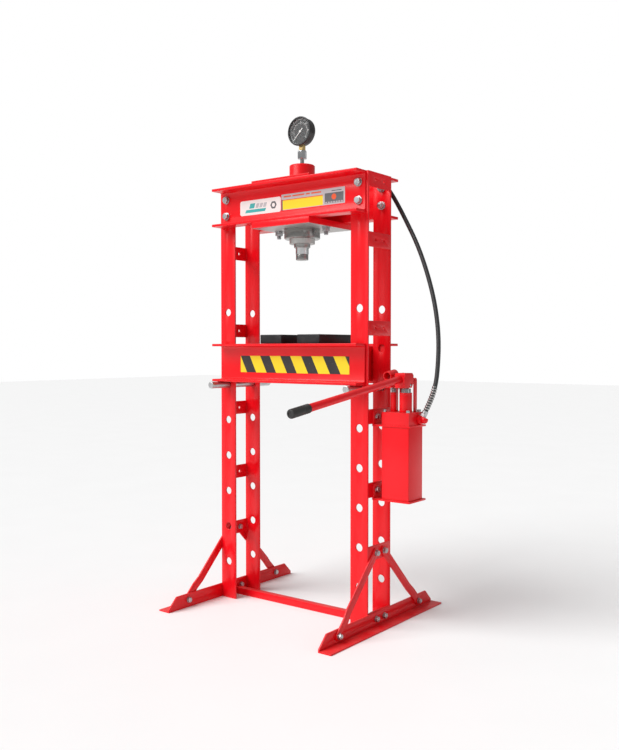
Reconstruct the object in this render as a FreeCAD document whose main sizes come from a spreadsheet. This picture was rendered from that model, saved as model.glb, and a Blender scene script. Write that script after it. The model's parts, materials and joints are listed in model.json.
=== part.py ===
"""Hydraulic shop press: a two-legged bolted frame, a height-adjustable bed on pins, a vertical ram with
a gauge, and a two-speed hand pump that feeds the ram through a hose.  Millimetres, +Z up.  The origin is
on the floor, midway between the side frames."""
import FreeCAD
import Part
import Sketcher
import math
import os
import re

# Driving dimensions: name, value, what it is.
SIZES = [
    ("inner_width", 528, "clear width between the side frames"),
    ("post_width", 70, "width of each upright bar"),
    ("bar_thick", 6, "thickness of upright and batten bars"),
    ("frame_depth", 144, "front face to rear face of the uprights"),
    ("post_height", 1542, "height of the uprights"),
    ("pin_hole_low", 140, "height of the lowest bed-pin hole"),
    ("pin_pitch", 135, "spacing of the bed-pin holes"),
    ("pin_hole_count", 8, "bed-pin holes in each upright"),
    ("bed_level", 5, "index of the hole that carries the bed, from 0"),
    ("pin_hole_wide", 28, "bed-pin hole diameter"),
    ("pin_wide", 25, "bed pin diameter"),
    ("pin_long", 332, "bed pin length"),
    ("seat_gap", 0.3, "clearance where one body rests on another"),
    ("slide_gap", 1.5, "clearance between bed channels and uprights"),
    ("batten_high", 50, "height of a batten bar"),
    ("batten_hole_pitch", 50, "spacing of the two holes in a batten"),
    ("small_hole", 11, "clearance hole for the frame bolts"),
    ("beam_inset", 8, "channel ends inside the side frames' outer faces"),
    ("beam_high", 140, "depth of the channels"),
    ("beam_flange", 58, "flange width of the channels"),
    ("beam_web", 6, "web thickness of the channels"),
    ("flange_thick", 9, "flange thickness of the channels"),
    ("root_radius", 7, "inside radius of the channels"),
    ("beam_bolt_low", 43, "lower head-beam bolt above the beam's underside"),
    ("beam_bolt_pitch", 60, "vertical spacing of head-beam bolts"),
    ("big_bolt", 14, "head bolt diameter"),
    ("big_hole", 15, "head bolt hole"),
    ("big_head_flats", 22, "head bolt width across flats"),
    ("big_head_high", 9, "head bolt head height"),
    ("big_nut_high", 12, "head nut height"),
    ("big_washer_wide", 29, "head washer diameter"),
    ("washer_thick", 2.5, "washer thickness"),
    ("small_bolt", 10, "frame bolt diameter"),
    ("small_head_flats", 17, "frame bolt width across flats"),
    ("small_head_high", 6.5, "frame bolt head height"),
    ("small_nut_high", 8, "frame nut height"),
    ("small_washer_wide", 21, "frame washer diameter"),
    ("thread_play", 0.1, "radial play between a nut and its bolt"),
    ("head_plate", 260, "side of the square plates under and over the head beams"),
    ("top_plate_thick", 7, "thickness of the plate over the beams"),
    ("cylinder_plate_thick", 22, "thickness of the plate under the beams"),
    ("tie_reach", 108, "tie bolts from the press centre"),
    ("tie_bolt", 16, "tie bolt diameter"),
    ("tie_head_flats", 24, "tie bolt width across flats"),
    ("tie_head_high", 10, "tie bolt head height"),
    ("tie_nut_high", 13, "tie bolt nut height"),
    ("tie_washer_wide", 31, "tie bolt washer diameter"),
    ("tie_end", 12, "tie bolt left below its nut"),
    ("big_end", 4, "head bolt left beyond its nut"),
    ("small_end", 3, "frame bolt left beyond its nut"),
    ("foot_long", 700, "length of the floor angles"),
    ("foot_leg", 50, "leg of the floor angles"),
    ("foot_thick", 5, "thickness of the floor angles"),
    ("foot_chamfer", 40, "length of the cut at the ends of the upright leg"),
    ("foot_nose", 11, "height left of the upright leg at its ends"),
    ("foot_bolt_high", 27, "height of the foot bolts"),
    ("brace_reach", 250, "foot end of a brace from the centre"),
    ("brace_width", 30, "width of a brace strap"),
    ("brace_thick", 5, "thickness of a brace strap"),
    ("brace_level", 254, "height of the batten that holds the braces"),
    ("crossbar_side", 25, "side of the square crossbar"),
    ("crossbar_wall", 2.5, "wall of the crossbar"),
    ("crossbar_back", 0, "crossbar axis behind the centre"),
    ("tab_half", 40, "half width of the crossbar's end tabs"),
    ("cylinder_radius", 46, "outside radius of the cylinder"),
    ("bore_radius", 35, "cylinder bore"),
    ("cylinder_rise", 68, "top of the cylinder above the uprights"),
    ("cylinder_roof", 20, "thickness of the cylinder's closed end"),
    ("collar_radius", 60, "collar that sits on the cylinder plate"),
    ("collar_high", 12, "height of the collar"),
    ("ring_nut_radius", 65, "outside radius of the ring nut"),
    ("ring_nut_high", 36, "height of the ring nut"),
    ("cylinder_nose", 17, "cylinder below the ring nut"),
    ("gland_radius", 29.5, "outside radius of the gland"),
    ("gland_high", 14, "gland below the cylinder"),
    ("gland_deep", 18, "gland inside the bore"),
    ("fit_gap", 0.15, "radial clearance of turned fits"),
    ("running_gap", 0.05, "radial clearance of shafts and pins in their bores"),
    ("ram_radius", 23.5, "ram radius"),
    ("ram_nose_radius", 22.5, "radius of the ram's hardened nose"),
    ("ram_nose_high", 21, "height of the nose"),
    ("ram_shown", 44, "ram and nose below the gland when retracted"),
    ("piston_high", 25, "piston height"),
    ("piston_rise", 123, "underside of the retracted piston above the head beams' underside"),
    ("seal_high", 8, "piston seal height"),
    ("seal_deep", 5, "piston seal section"),
    ("spring_wire", 4, "return spring wire"),
    ("spring_turns", 7, "turns of the return spring"),
    ("gauge_rise", 121, "gauge's centre above the cylinder"),
    ("gauge_radius", 52, "bezel radius"),
    ("case_radius", 49.5, "gauge case radius"),
    ("gauge_front", 20, "bezel front ahead of the ram axis"),
    ("gauge_deep", 37, "gauge depth"),
    ("bezel_deep", 8, "bezel depth"),
    ("nipple_radius", 7, "gauge nipple radius"),
    ("coupling_flats", 30, "gauge coupling across flats"),
    ("coupling_rise", 23, "gauge coupling above the cylinder"),
    ("coupling_high", 30, "height of the gauge coupling"),
    ("neck_side", 17, "side of the gauge's square neck"),
    ("needle_long", 40, "needle length to its tip"),
    ("plate_wide", 98, "press plate across the bed's length"),
    ("plate_deep", 220, "press plate front to back"),
    ("plate_thick", 32, "press plate thickness"),
    ("plate_left_start", -107, "left edge of the left plate"),
    ("plate_right_start", 62, "left edge of the right plate"),
    ("spacer_thick", 8, "bed spacer thickness"),
    ("spacer_clear", 6, "bed spacer to the uprights"),
    ("bracket_low", 438, "underside of the lower pump bracket"),
    ("bracket_high", 688, "underside of the upper pump bracket"),
    ("bracket_reach", 146, "bracket shelf from the side frame"),
    ("bracket_front", 45, "bracket shelf ahead of the centre"),
    ("bracket_back", 62, "bracket shelf behind the centre"),
    ("bracket_rise", 52, "upstand of a pump bracket"),
    ("tank_gap", 36, "oil tank to the side frame"),
    ("tank_wide", 105, "oil tank width"),
    ("tank_front", 42, "tank front ahead of the centre"),
    ("tank_deep", 90, "tank front to back"),
    ("tank_wall", 3, "tank wall"),
    ("body_high", 43, "pump body height"),
    ("pump_row", 2, "plungers behind the centre"),
    ("barrel_high", 65, "height of the pump barrels"),
    ("small_reach", 55, "small plunger from the side frame"),
    ("large_reach", 103, "large plunger from the side frame"),
    ("small_barrel", 10.2, "small barrel radius"),
    ("large_barrel", 21, "large barrel radius"),
    ("small_plunger", 7.5, "small plunger radius"),
    ("large_plunger", 17, "large plunger radius"),
    ("plunger_shown", 13.5, "plunger above its barrel when down"),
    ("eye_rise", 11.5, "plunger pin above the plunger's shoulder"),
    ("pivot_reach", 34, "rocker pivot behind the plungers"),
    ("pivot_rise", 15, "rocker pivot above the plunger pin"),
    ("rocker_front", 36, "front face of the rockers"),
    ("rocker_clear", 3, "rockers above the plungers' shoulders"),
    ("rocker_rise", 26, "top of the rockers above their pivot"),
    ("small_socket_rise", 15, "small rocker's socket mouth above its pivot"),
    ("large_socket_rise", 5, "large rocker's socket mouth above its pivot"),
    ("handle_droop", 7.9, "angle of the handle below level, degrees"),
    ("socket_radius", 12.6, "radius of the handle sockets"),
    ("socket_deep", 48, "depth of the handle sockets"),
    ("handle_radius", 12, "handle tube radius"),
    ("handle_wall", 2.5, "handle tube wall"),
    ("handle_long", 583, "handle from the socket mouth to the grip's end"),
    ("grip_long", 84, "length of the grip"),
    ("grip_wall", 2, "thickness of the grip"),
    ("hose_wide", 15, "hose diameter"),
    ("guard_wall", 2.2, "thickness of the hose's spring guard"),
    ("port_drop", 46, "oil port below the cylinder's top"),
    ("elbow_reach", 160, "start of the hose from the side frame"),
    ("elbow_back", 24, "pump outlet behind the centre"),
    ("elbow_rise", 18, "pump outlet above the pump body's underside"),
    ("fitting_flats", 19, "hose nut across flats"),
    ("ferrule_long", 12, "length of the ferrule on a hose end"),
    ("swivel_long", 9, "length of the hose nut"),
    ("ferrule_wall", 2.5, "thickness of the ferrule over the hose"),
    ("elbow_flats", 30, "elbow boss across flats"),
    ("knob_reach", 64, "release knob from the side frame"),
    ("knob_rise", 22, "release knob above the pump body's underside"),
    ("knob_radius", 12, "release knob radius"),
    ("knob_stem", 4, "release valve stem radius"),
    ("screw_radius", 4, "pump body screw radius"),
    ("eye_radius", 6.5, "plunger eye radius"),
    ("eye_room", 2.5, "room over the plunger eye, for its slide along the rocker"),
    ("eye_pin", 4, "plunger pin radius"),
    ("pivot_pin", 4, "rocker pivot pin radius"),
    ("link_radius", 9, "end radius of the fulcrum straps"),
    ("link_thick", 4.5, "thickness of the fulcrum straps"),
    ("small_tongue", 7, "thickness of the small plunger's eye"),
    ("large_tongue", 10, "thickness of the large plunger's eye"),
    ("small_head", 26, "width of the small rocker"),
    ("large_head", 38, "width of the large rocker"),
    ("small_tail", 14, "width of the small rocker's tail"),
    ("large_tail", 26, "width of the large rocker's tail"),
    ("small_sleeve", 48, "length of the small rocker's socket ring"),
    ("large_sleeve", 26, "length of the large rocker's socket ring"),
    ("small_boss", 15.8, "radius of the small rocker's socket ring"),
    ("large_boss", 19, "radius of the large rocker's socket ring"),
]

# Values that follow from the sizes, each written once: name and what it comes to.
DERIVED = [
    ("outer_face", "inner_width / 2 + post_width"),
    ("beam_long", "2 * outer_face - 2 * beam_inset"),
    ("beam_bottom", "post_height - beam_high"),
    ("cylinder_top", "post_height + cylinder_rise"),
    ("piston_level", "beam_bottom + piston_rise"),
    ("coupling_bottom", "cylinder_top + coupling_rise"),
    ("gauge_level", "cylinder_top + gauge_rise"),
    ("port_level", "cylinder_top - port_drop"),
    ("tank_start", "outer_face + tank_gap"),
    ("small_pump", "outer_face + small_reach"),
    ("large_pump", "outer_face + large_reach"),
    ("knob_start", "outer_face + knob_reach"),
    ("body_bottom", "bracket_high + bar_thick"),
    ("body_top", "body_bottom + body_high"),
    ("elbow_level", "body_bottom + elbow_rise"),
    ("knob_level", "body_bottom + knob_rise"),
    ("barrel_top", "body_top + barrel_high"),
    ("plunger_top", "barrel_top + plunger_shown"),
    ("eye_level", "plunger_top + eye_rise"),
    ("pivot_level", "eye_level + pivot_rise"),
    ("pivot_back", "pump_row + pivot_reach"),
    ("rocker_bottom", "plunger_top + rocker_clear"),
    ("rocker_top", "pivot_level + rocker_rise"),
    ("small_socket_level", "pivot_level + small_socket_rise"),
    ("large_socket_level", "pivot_level + large_socket_rise"),
    ("plug_ledge", "bracket_back + tank_front - tank_deep"),
    ("plug_back", "bracket_back - plug_ledge / 2"),
    ("plug_start", "tank_start + tank_wide - 12"),
    ("fitting_long", "ferrule_long + swivel_long"),
]

# Middle points of the free hose, from the pump to the cylinder: x, y, z.  It rises beside the frame,
# leans back behind the rear upright, and comes over the rear beam to the cylinder.
HOSE_ROUTE = [
    (494, 36, 741), (511, 46, 784), (521, 57, 835), (522, 67, 895), (519, 77, 965), (508, 88, 1036),
    (490, 98, 1108), (465, 108, 1180), (433, 119, 1255), (398, 130, 1322), (358, 141, 1386),
    (322, 148, 1444), (286, 151, 1500), (246, 156, 1547), (199, 154, 1575), (148, 135, 1578),
    (104, 104, 1564), (70, 70, 1564),
]

BATTEN_LEVELS = ("foot_bolt_high", "brace_level", "471", "720", "1018", "(post_height - 226)",
                 "(post_height - batten_high / 2)")    # heights of the batten centres
LOWER_BRACKET, UPPER_BRACKET = BATTEN_LEVELS[2:4]
MOST_FILES = 60

doc = FreeCAD.newDocument("ShopPress")
sheet = doc.addObject("Spreadsheet::Sheet", "Dims")
for row, (alias, number, note) in enumerate(SIZES, start=1):
    sheet.set("A%d" % row, alias)
    sheet.set("B%d" % row, str(number))
    sheet.set("C%d" % row, note)
    sheet.setAlias("B%d" % row, alias)
doc.recompute()

ALIASES = {alias for alias, number, note in SIZES}
FRONT, REAR = -1, 1
LEFT, RIGHT = -1, 1
TURNS = {
    "X": FreeCAD.Rotation(FreeCAD.Vector(0, 1, 0), 90),
    "Y": FreeCAD.Rotation(FreeCAD.Vector(1, 0, 0), -90),
    "Z": FreeCAD.Rotation(),
}
nodes = []


def bound(text):
    """An expression over the sheet's names, with the derived values written out."""
    text = str(text)
    for name, meaning in reversed(DERIVED):
        text = re.sub(r"\b%s\b" % name, "(%s)" % meaning, text)
    return re.sub(r"[a-z_]+", lambda m: "Dims." + m.group(0) if m.group(0) in ALIASES else m.group(0), text)


def size(text):
    """The number that an expression over the sheet gives now."""
    return float(sheet.evalExpression(re.sub(r"Dims\.", "", bound(text))))


def place(item, x=0, y=0, z=0):
    for key, text in (("x", x), ("y", y), ("z", z)):
        item.setExpression("Placement.Base." + key, bound(text))
    return item


def box(label, x, y, z, wide, deep, high):
    item = doc.addObject("Part::Box", label)
    for name, text in (("Length", wide), ("Width", deep), ("Height", high)):
        item.setExpression(name, bound(text))
    return place(item, x, y, z)


def rod(label, radius, length, x=0, y=0, z=0, axis="Z"):
    item = doc.addObject("Part::Cylinder", label)
    item.setExpression("Radius", bound(radius))
    item.setExpression("Height", bound(length))
    item.Placement = FreeCAD.Placement(FreeCAD.Vector(), TURNS[axis])
    return place(item, x, y, z)


def hexagon(label, flats, length, x=0, y=0, z=0, axis="Z"):
    item = doc.addObject("Part::Prism", label)
    item.Polygon = 6
    item.setExpression("Circumradius", "(%s) / 2 / cos(30 deg)" % bound(flats))
    item.setExpression("Height", bound(length))
    item.Placement = FreeCAD.Placement(FreeCAD.Vector(), TURNS[axis])
    return place(item, x, y, z)


def fuse(label, *pieces):
    item = doc.addObject("Part::MultiFuse", label)
    item.Shapes = list(pieces)
    item.Refine = True
    return item


def cut(label, base, *tools):
    item = doc.addObject("Part::Cut", label)
    item.Base = base
    item.Tool = tools[0] if len(tools) == 1 else bundle(label + "_tools", tools)
    return item


def bundle(label, pieces):
    item = doc.addObject("Part::Compound", label)
    item.Links = list(pieces)
    return item


def node(name, item):
    """Names a finished sub-part; its label names its file."""
    item.Label = name
    nodes.append(item)
    return item


def shaped(name, shape):
    """A sub-part whose shape is worked out here from the sheet."""
    item = doc.addObject("Part::Feature", name + "_shape")
    item.Shape = shape
    return item


def plane(body, role):
    return [part for part in body.Origin.OriginFeatures if part.Role == role][0]


def outline(body, role, corners):
    """A closed straight-sided sketch on one of the body's own planes; corners are pairs of expressions."""
    sketch = body.newObject("Sketcher::SketchObject", "Outline")
    sketch.AttachmentSupport = [(plane(body, role), "")]
    sketch.MapMode = "FlatFace"
    points = [FreeCAD.Vector(size(u), size(v), 0) for u, v in corners]
    count = len(points)
    for index in range(count):
        sketch.addGeometry(Part.LineSegment(points[index], points[(index + 1) % count]), False)
    for index in range(count):
        sketch.addConstraint(Sketcher.Constraint("Coincident", index, 2, (index + 1) % count, 1))
    for index, corner in enumerate(corners):
        for kind, text in zip(("DistanceX", "DistanceY"), corner):
            number = sketch.addConstraint(Sketcher.Constraint(kind, -1, 1, index, 1, size(text)))
            sketch.setExpression("Constraints[%d]" % number, bound(text))
    return sketch


def circles(body, role, places, diameter):
    """A sketch of round holes on one of the body's own planes."""
    sketch = body.newObject("Sketcher::SketchObject", "Holes")
    sketch.AttachmentSupport = [(plane(body, role), "")]
    sketch.MapMode = "FlatFace"
    for index, (u, v) in enumerate(places):
        middle = FreeCAD.Vector(size(u), size(v), 0)
        sketch.addGeometry(Part.Circle(middle, FreeCAD.Vector(0, 0, 1), size(diameter) / 2), False)
        for kind, text in (("DistanceX", u), ("DistanceY", v)):
            number = sketch.addConstraint(Sketcher.Constraint(kind, -1, 1, index, 3, size(text)))
            sketch.setExpression("Constraints[%d]" % number, bound(text))
        number = sketch.addConstraint(Sketcher.Constraint("Diameter", index, size(diameter)))
        sketch.setExpression("Constraints[%d]" % number, bound(diameter))
    return sketch


def pocket(body, sketch):
    """A hole right through the body, checked to take something away."""
    doc.recompute()
    before = body.Shape.Volume
    feature = body.newObject("PartDesign::Pocket", "Pocket")
    feature.Profile = sketch
    feature.Type = "ThroughAll"
    feature.Midplane = True
    doc.recompute()
    if not body.Shape.Volume < before - 1:
        raise RuntimeError(body.Name + ": a pocket cut nothing")
    return feature


def padded(name, role, corners, length):
    body = doc.addObject("PartDesign::Body", name + "_body")
    feature = body.newObject("PartDesign::Pad", "Pad")
    feature.Profile = outline(body, role, corners)
    feature.setExpression("Length", bound(length))
    feature.Midplane = True
    return body


def turned(name, corners, x=0, y=0, z=0, axis="Z"):
    """A body of revolution: corners are (radius, height) along its axis."""
    body = doc.addObject("PartDesign::Body", name + "_body")
    sketch = outline(body, "XZ_Plane", corners)
    feature = body.newObject("PartDesign::Revolution", "Revolution")
    feature.Profile = sketch
    feature.ReferenceAxis = (sketch, ["V_Axis"])
    feature.Angle = 360
    body.Placement = FreeCAD.Placement(FreeCAD.Vector(), TURNS[axis])
    return place(body, x, y, z)


# ---- Side frames -------------------------------------------------------------------------------------
POST_MIDDLE = "(inner_width + post_width) / 2"
PLATE_BOTTOM = "(beam_bottom - cylinder_plate_thick)"
BOLT_ROWS = ["beam_bottom + beam_bolt_low", "beam_bottom + beam_bolt_low + beam_bolt_pitch"]


def upright(name, side, end):
    """A flat bar with a row of bed-pin holes and two bolt holes at its top."""
    corners = [("-post_width / 2", 0), ("post_width / 2", 0),
               ("post_width / 2", "post_height"), ("-post_width / 2", "post_height")]
    body = padded(name, "XZ_Plane", corners, "bar_thick")
    first = pocket(body, circles(body, "XZ_Plane", [(0, "pin_hole_low")], "pin_hole_wide"))
    row = body.newObject("PartDesign::LinearPattern", "PinHoles")
    row.Originals = [first]
    row.Direction = (plane(body, "Z_Axis"), [""])
    row.setExpression("Length", bound("pin_pitch * (pin_hole_count - 1)"))
    row.setExpression("Occurrences", bound("pin_hole_count"))
    body.Tip = row
    pocket(body, circles(body, "XZ_Plane", [(0, level) for level in BOLT_ROWS], "big_hole"))
    place(body, "%d * %s" % (side, POST_MIDDLE), "%d * (frame_depth - bar_thick) / 2" % end)
    node(name, body)


def batten(side, level):
    """A short flat bar between the front and rear uprights, flush with their outer edges."""
    start = "outer_face - bar_thick" if side == RIGHT else "-outer_face"
    bar = box("Batten", start, "bar_thick - frame_depth / 2", "%s - batten_high / 2" % level,
              "bar_thick", "frame_depth - 2 * bar_thick", "batten_high")
    holes = [rod("BattenHole", "small_hole / 2", "3 * bar_thick", start + " - bar_thick",
                 "%d * batten_hole_pitch / 2" % end, level, "X") for end in (FRONT, REAR)]
    return cut("BattenBar", bar, *holes)


def side_frames():
    for side, side_name in ((LEFT, "left"), (RIGHT, "right")):
        for end, end_name in ((FRONT, "front"), (REAR, "rear")):
            upright("upright_%s_%s" % (end_name, side_name), side, end)
    node("battens", bundle("Battens", [batten(side, level) for side in (LEFT, RIGHT)
                                       for level in BATTEN_LEVELS]))


# ---- Channels ----------------------------------------------------------------------------------------
def channel(name, end, inner_face, bottom, holes=()):
    """A rolled channel with its web towards the uprights and its flanges outwards."""
    rise = "beam_high - flange_thick"
    turn = "root_radius * 0.3"
    corners = [(0, 0), ("beam_flange", 0), ("beam_flange", "flange_thick"),
               ("beam_web + root_radius", "flange_thick"), ("beam_web + " + turn, "flange_thick + " + turn),
               ("beam_web", "flange_thick + root_radius"), ("beam_web", rise + " - root_radius"),
               ("beam_web + " + turn, rise + " - " + turn), ("beam_web + root_radius", rise),
               ("beam_flange", rise), ("beam_flange", "beam_high"), (0, "beam_high")]
    body = padded(name, "YZ_Plane", corners, "beam_long")
    if holes:
        pocket(body, circles(body, "XZ_Plane", holes, "big_hole"))
    if end == FRONT:
        body.Placement = FreeCAD.Placement(FreeCAD.Vector(), FreeCAD.Rotation(FreeCAD.Vector(0, 0, 1), 180))
    place(body, 0, "%d * (%s)" % (end, inner_face), bottom)
    return body


def fastener(label, diameter, flats, head_high, length, x, y, z, axis, way):
    """A hexagon bolt; the head's underside is at x, y, z and the shank points the given way."""
    points = {"X": x, "Y": y, "Z": z}
    head_points = dict(points)
    shank_points = dict(points)
    if way > 0:
        head_points[axis] = "%s - %s" % (points[axis], head_high)
    else:
        shank_points[axis] = "%s - (%s)" % (points[axis], length)
    head = hexagon(label + "Head", flats, head_high, *(head_points[name] for name in "XYZ"), axis)
    shank = rod(label + "Shank", "(%s) / 2" % diameter, length,
                shank_points["X"], shank_points["Y"], shank_points["Z"], axis)
    return fuse(label, head, shank)


def drilled(label, blank, diameter, x, y, z, axis):
    """A nut or washer: the blank with a hole for its bolt."""
    reach = "4 * big_nut_high"
    points = {"X": x, "Y": y, "Z": z}
    points[axis] = "%s - 2 * big_nut_high" % points[axis]
    hole = rod(label + "Hole", "(%s) / 2 + thread_play" % diameter, reach,
               points["X"], points["Y"], points["Z"], axis)
    return cut(label, blank, hole)


def stack(kind, x, y, z, axis, way, grip, backing=""):
    """A bolt with a washer under its head, and a washer and nut at its far side.
    x, y, z is where the washer under the head meets the work; grip is the thickness clamped."""
    bolt, flats = kind + "_bolt", kind + "_head_flats"
    washer, nut = kind + "_washer_wide", kind + "_nut_high"
    points = {"X": x, "Y": y, "Z": z}

    def at(offset, part_length):
        moved = dict(points)
        start = "%s + (%s)" % (points[axis], offset) if way > 0 else (
            "%s - (%s) - (%s)" % (points[axis], offset, part_length))
        moved[axis] = start
        return moved["X"], moved["Y"], moved["Z"]

    under = dict(points)
    under[axis] = "%s - %d * washer_thick" % (points[axis], way)
    body = fastener("Bolt", bolt, flats, kind + "_head_high",
                    "2 * washer_thick + %s + %s + %s_end" % (grip, nut, kind),
                    under["X"], under["Y"], under["Z"], axis, way)
    rings = []
    for offset in ("-washer_thick", grip):
        wx, wy, wz = at(offset, "washer_thick")
        blank = rod("WasherBlank", "%s / 2" % washer, "washer_thick", wx, wy, wz, axis)
        rings.append(drilled("Washer", blank, bolt, wx, wy, wz, axis))
    nx, ny, nz = at("%s + washer_thick" % grip, nut)
    rings.append(drilled("Nut", hexagon("NutBlank", flats, nut, nx, ny, nz, axis), bolt, nx, ny, nz, axis))
    return body, rings


def head():
    """Two channels bolted across the uprights, with a plate over them and a thick one under them."""
    holes = [("%d * %s" % (side, POST_MIDDLE), level + " - beam_bottom")
             for side in (LEFT, RIGHT) for level in BOLT_ROWS]
    bolts, rings = [], []
    for end, end_name in ((FRONT, "front"), (REAR, "rear")):
        beam = channel("head_beam_" + end_name, end, "frame_depth / 2", "beam_bottom", holes)
        node("head_beam_" + end_name, beam)
        for side in (LEFT, RIGHT):
            for level in BOLT_ROWS:
                bolt, parts = stack("big", "%d * %s" % (side, POST_MIDDLE),
                                    "%d * (frame_depth / 2 + beam_web)" % end, level, "Y", -end,
                                    "(beam_web + bar_thick)")
                bolts.append(bolt)
                rings += parts
    for side in (LEFT, RIGHT):
        bolt, parts = stack("tie", "%d * tie_reach" % side, 0, "post_height + top_plate_thick", "Z", -1,
                            "(top_plate_thick + beam_high + cylinder_plate_thick)")
        bolts.append(bolt)
        rings += parts
    node("head_bolts", bundle("HeadBolts", bolts))
    node("head_nuts", bundle("HeadNuts", rings))

    half = "head_plate / 2"
    for name, low, thick in (("top_plate", "post_height", "top_plate_thick"),
                             ("cylinder_plate", PLATE_BOTTOM, "cylinder_plate_thick")):
        blank = box("PlateBlank", "-" + half, "-" + half, low, "head_plate", "head_plate", thick)
        below = "%s - %s" % (low, thick)
        drills = [rod("TieHole", "tie_bolt / 2 + 0.5", "3 * " + thick, "%d * tie_reach" % side, 0, below)
                  for side in (LEFT, RIGHT)]
        bore = rod("CylinderHole", "cylinder_radius + fit_gap", "3 * " + thick, 0, 0, below)
        node(name, cut("HeadPlate", blank, bore, *drills))


# ---- Feet, braces and crossbar -----------------------------------------------------------------------
def foot(name, side):
    """A floor angle outside the side frame: its upright leg has both top corners cut off."""
    half = "foot_long / 2"
    corners = [("-" + half, 0), (half, 0), (half, "foot_nose"), (half + " - foot_chamfer", "foot_leg"),
               ("foot_chamfer - " + half, "foot_leg"), ("-" + half, "foot_nose")]
    leg = padded(name, "YZ_Plane", corners, "foot_thick")
    place(leg, "%d * (outer_face + foot_thick / 2)" % side)
    start = "outer_face" if side == RIGHT else "-outer_face - foot_leg"
    sole = box("Sole", start, "-" + half, 0, "foot_leg", "foot_long", "foot_thick")
    holes = [rod("FootHole", "small_hole / 2", "3 * foot_thick", "%d * outer_face - 1.5 * foot_thick" % side,
                 where, "foot_bolt_high", "X") for where in foot_bolt_rows()]
    node(name, cut("Foot", fuse("FootAngle", leg, sole), *holes))


def foot_bolt_rows():
    return ["-brace_reach", "-batten_hole_pitch / 2", "batten_hole_pitch / 2", "brace_reach"]


def brace(side, end):
    """A strap from the foot's end to the batten, set inwards above the foot by the foot's thickness."""
    low = FreeCAD.Vector(0, end * size("brace_reach"), size("foot_bolt_high"))
    high = FreeCAD.Vector(0, end * size("batten_hole_pitch / 2"), size("brace_level"))
    run = high - low
    along = FreeCAD.Vector(run).normalize()
    width, thick, step = size("brace_width"), size("brace_thick"), size("foot_thick")
    set_start, set_end = 1.9 * width, 3.0 * width
    stations = [(-width / 2, step), (set_start, step), (set_end, 0), (run.Length + width / 2, 0)]
    face = side * size("outer_face")
    near = [low + along * s + FreeCAD.Vector(face + side * out, 0, 0) for s, out in stations]
    far = [point + FreeCAD.Vector(side * thick, 0, 0) for point in reversed(near)]
    across = along.cross(FreeCAD.Vector(1, 0, 0)).normalize() * width
    profile = Part.Face(Part.makePolygon(near + far + near[:1]))
    profile.translate(across * -0.5)
    strap = profile.extrude(across)
    ends = [edge for edge in strap.Edges
            if abs(edge.Length - thick) < 0.01 and abs(edge.tangentAt(edge.FirstParameter).x) > 0.99]
    ends.sort(key=lambda edge: (edge.CenterOfMass - low).dot(along))
    strap = strap.makeFillet(0.45 * width, ends[:2] + ends[-2:])
    for point in (low, high):
        middle = FreeCAD.Vector(face - side * thick, point.y, point.z)
        drill = Part.makeCylinder(size("small_hole / 2"), 5 * thick, middle, FreeCAD.Vector(side, 0, 0))
        strap = strap.cut(drill)
    return shaped("brace", strap)


def floor_parts():
    for side, name in ((LEFT, "foot_left"), (RIGHT, "foot_right")):
        foot(name, side)
    node("braces", bundle("Braces", [brace(side, end) for side in (LEFT, RIGHT) for end in (FRONT, REAR)]))

    inside = "(outer_face - 2 * bar_thick)"
    low = "crossbar_back - crossbar_side / 2"
    bar = box("BarBlank", "-" + inside, low, 0, "2 * " + inside, "crossbar_side", "crossbar_side")
    hollow = box("BarHollow", "bar_thick - " + inside, low + " + crossbar_wall", "crossbar_wall",
                 "2 * %s - 2 * bar_thick" % inside, "crossbar_side - 2 * crossbar_wall",
                 "crossbar_side - 2 * crossbar_wall")
    tube = cut("BarTube", bar, hollow)
    tabs, holes = [], []
    for side in (LEFT, RIGHT):
        start = inside if side == RIGHT else "-%s - bar_thick" % inside
        tabs.append(box("Tab", start, "-tab_half", 0, "bar_thick", "2 * tab_half", "foot_leg"))
        holes += [rod("TabHole", "small_hole / 2", "3 * bar_thick", start + " - bar_thick",
                      "%d * batten_hole_pitch / 2" % end, "foot_bolt_high", "X") for end in (FRONT, REAR)]
    node("crossbar", cut("Crossbar", fuse("BarWithTabs", tube, *tabs), *holes))


def frame_fasteners():
    """The smaller bolts: feet, braces and pump brackets, heads inside the frame and nuts outside,
    but the pump's nuts inside."""
    bolts, rings = [], []
    middle = "batten_hole_pitch / 2"

    def add(x, y, z, way, grip):
        bolt, parts = stack("small", x, y, z, "X", way, grip)
        bolts.append(bolt)
        rings.extend(parts)

    for side in (LEFT, RIGHT):
        for end in (FRONT, REAR):
            add("%d * (outer_face - 2 * bar_thick)" % side, "%d * %s" % (end, middle), "foot_bolt_high", side,
                "(2 * bar_thick + foot_thick)")
            add("%d * outer_face" % side, "%d * brace_reach" % end, "foot_bolt_high", side,
                "(foot_thick + brace_thick)")
            add("%d * (outer_face - bar_thick)" % side, "%d * %s" % (end, middle), "brace_level", side,
                "(bar_thick + brace_thick)")
    for level in (LOWER_BRACKET, UPPER_BRACKET):
        for end in (FRONT, REAR):
            add("outer_face + bar_thick", "%d * %s" % (end, middle), level, -1, "(2 * bar_thick)")
    node("frame_bolts", bundle("FrameBolts", bolts))
    node("frame_nuts", bundle("FrameNuts", rings))


# ---- Cylinder and ram --------------------------------------------------------------------------------
NOSE_BOTTOM = "(%s - ring_nut_high - cylinder_nose)" % PLATE_BOTTOM
GLAND_TOP = "(%s + gland_deep)" % NOSE_BOTTOM
GLAND_BOTTOM = "(%s - gland_high)" % NOSE_BOTTOM
RAM_END = "(%s - ram_shown)" % GLAND_BOTTOM
PORT_WAY = FreeCAD.Vector(1, 1, 0).normalize()


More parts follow.
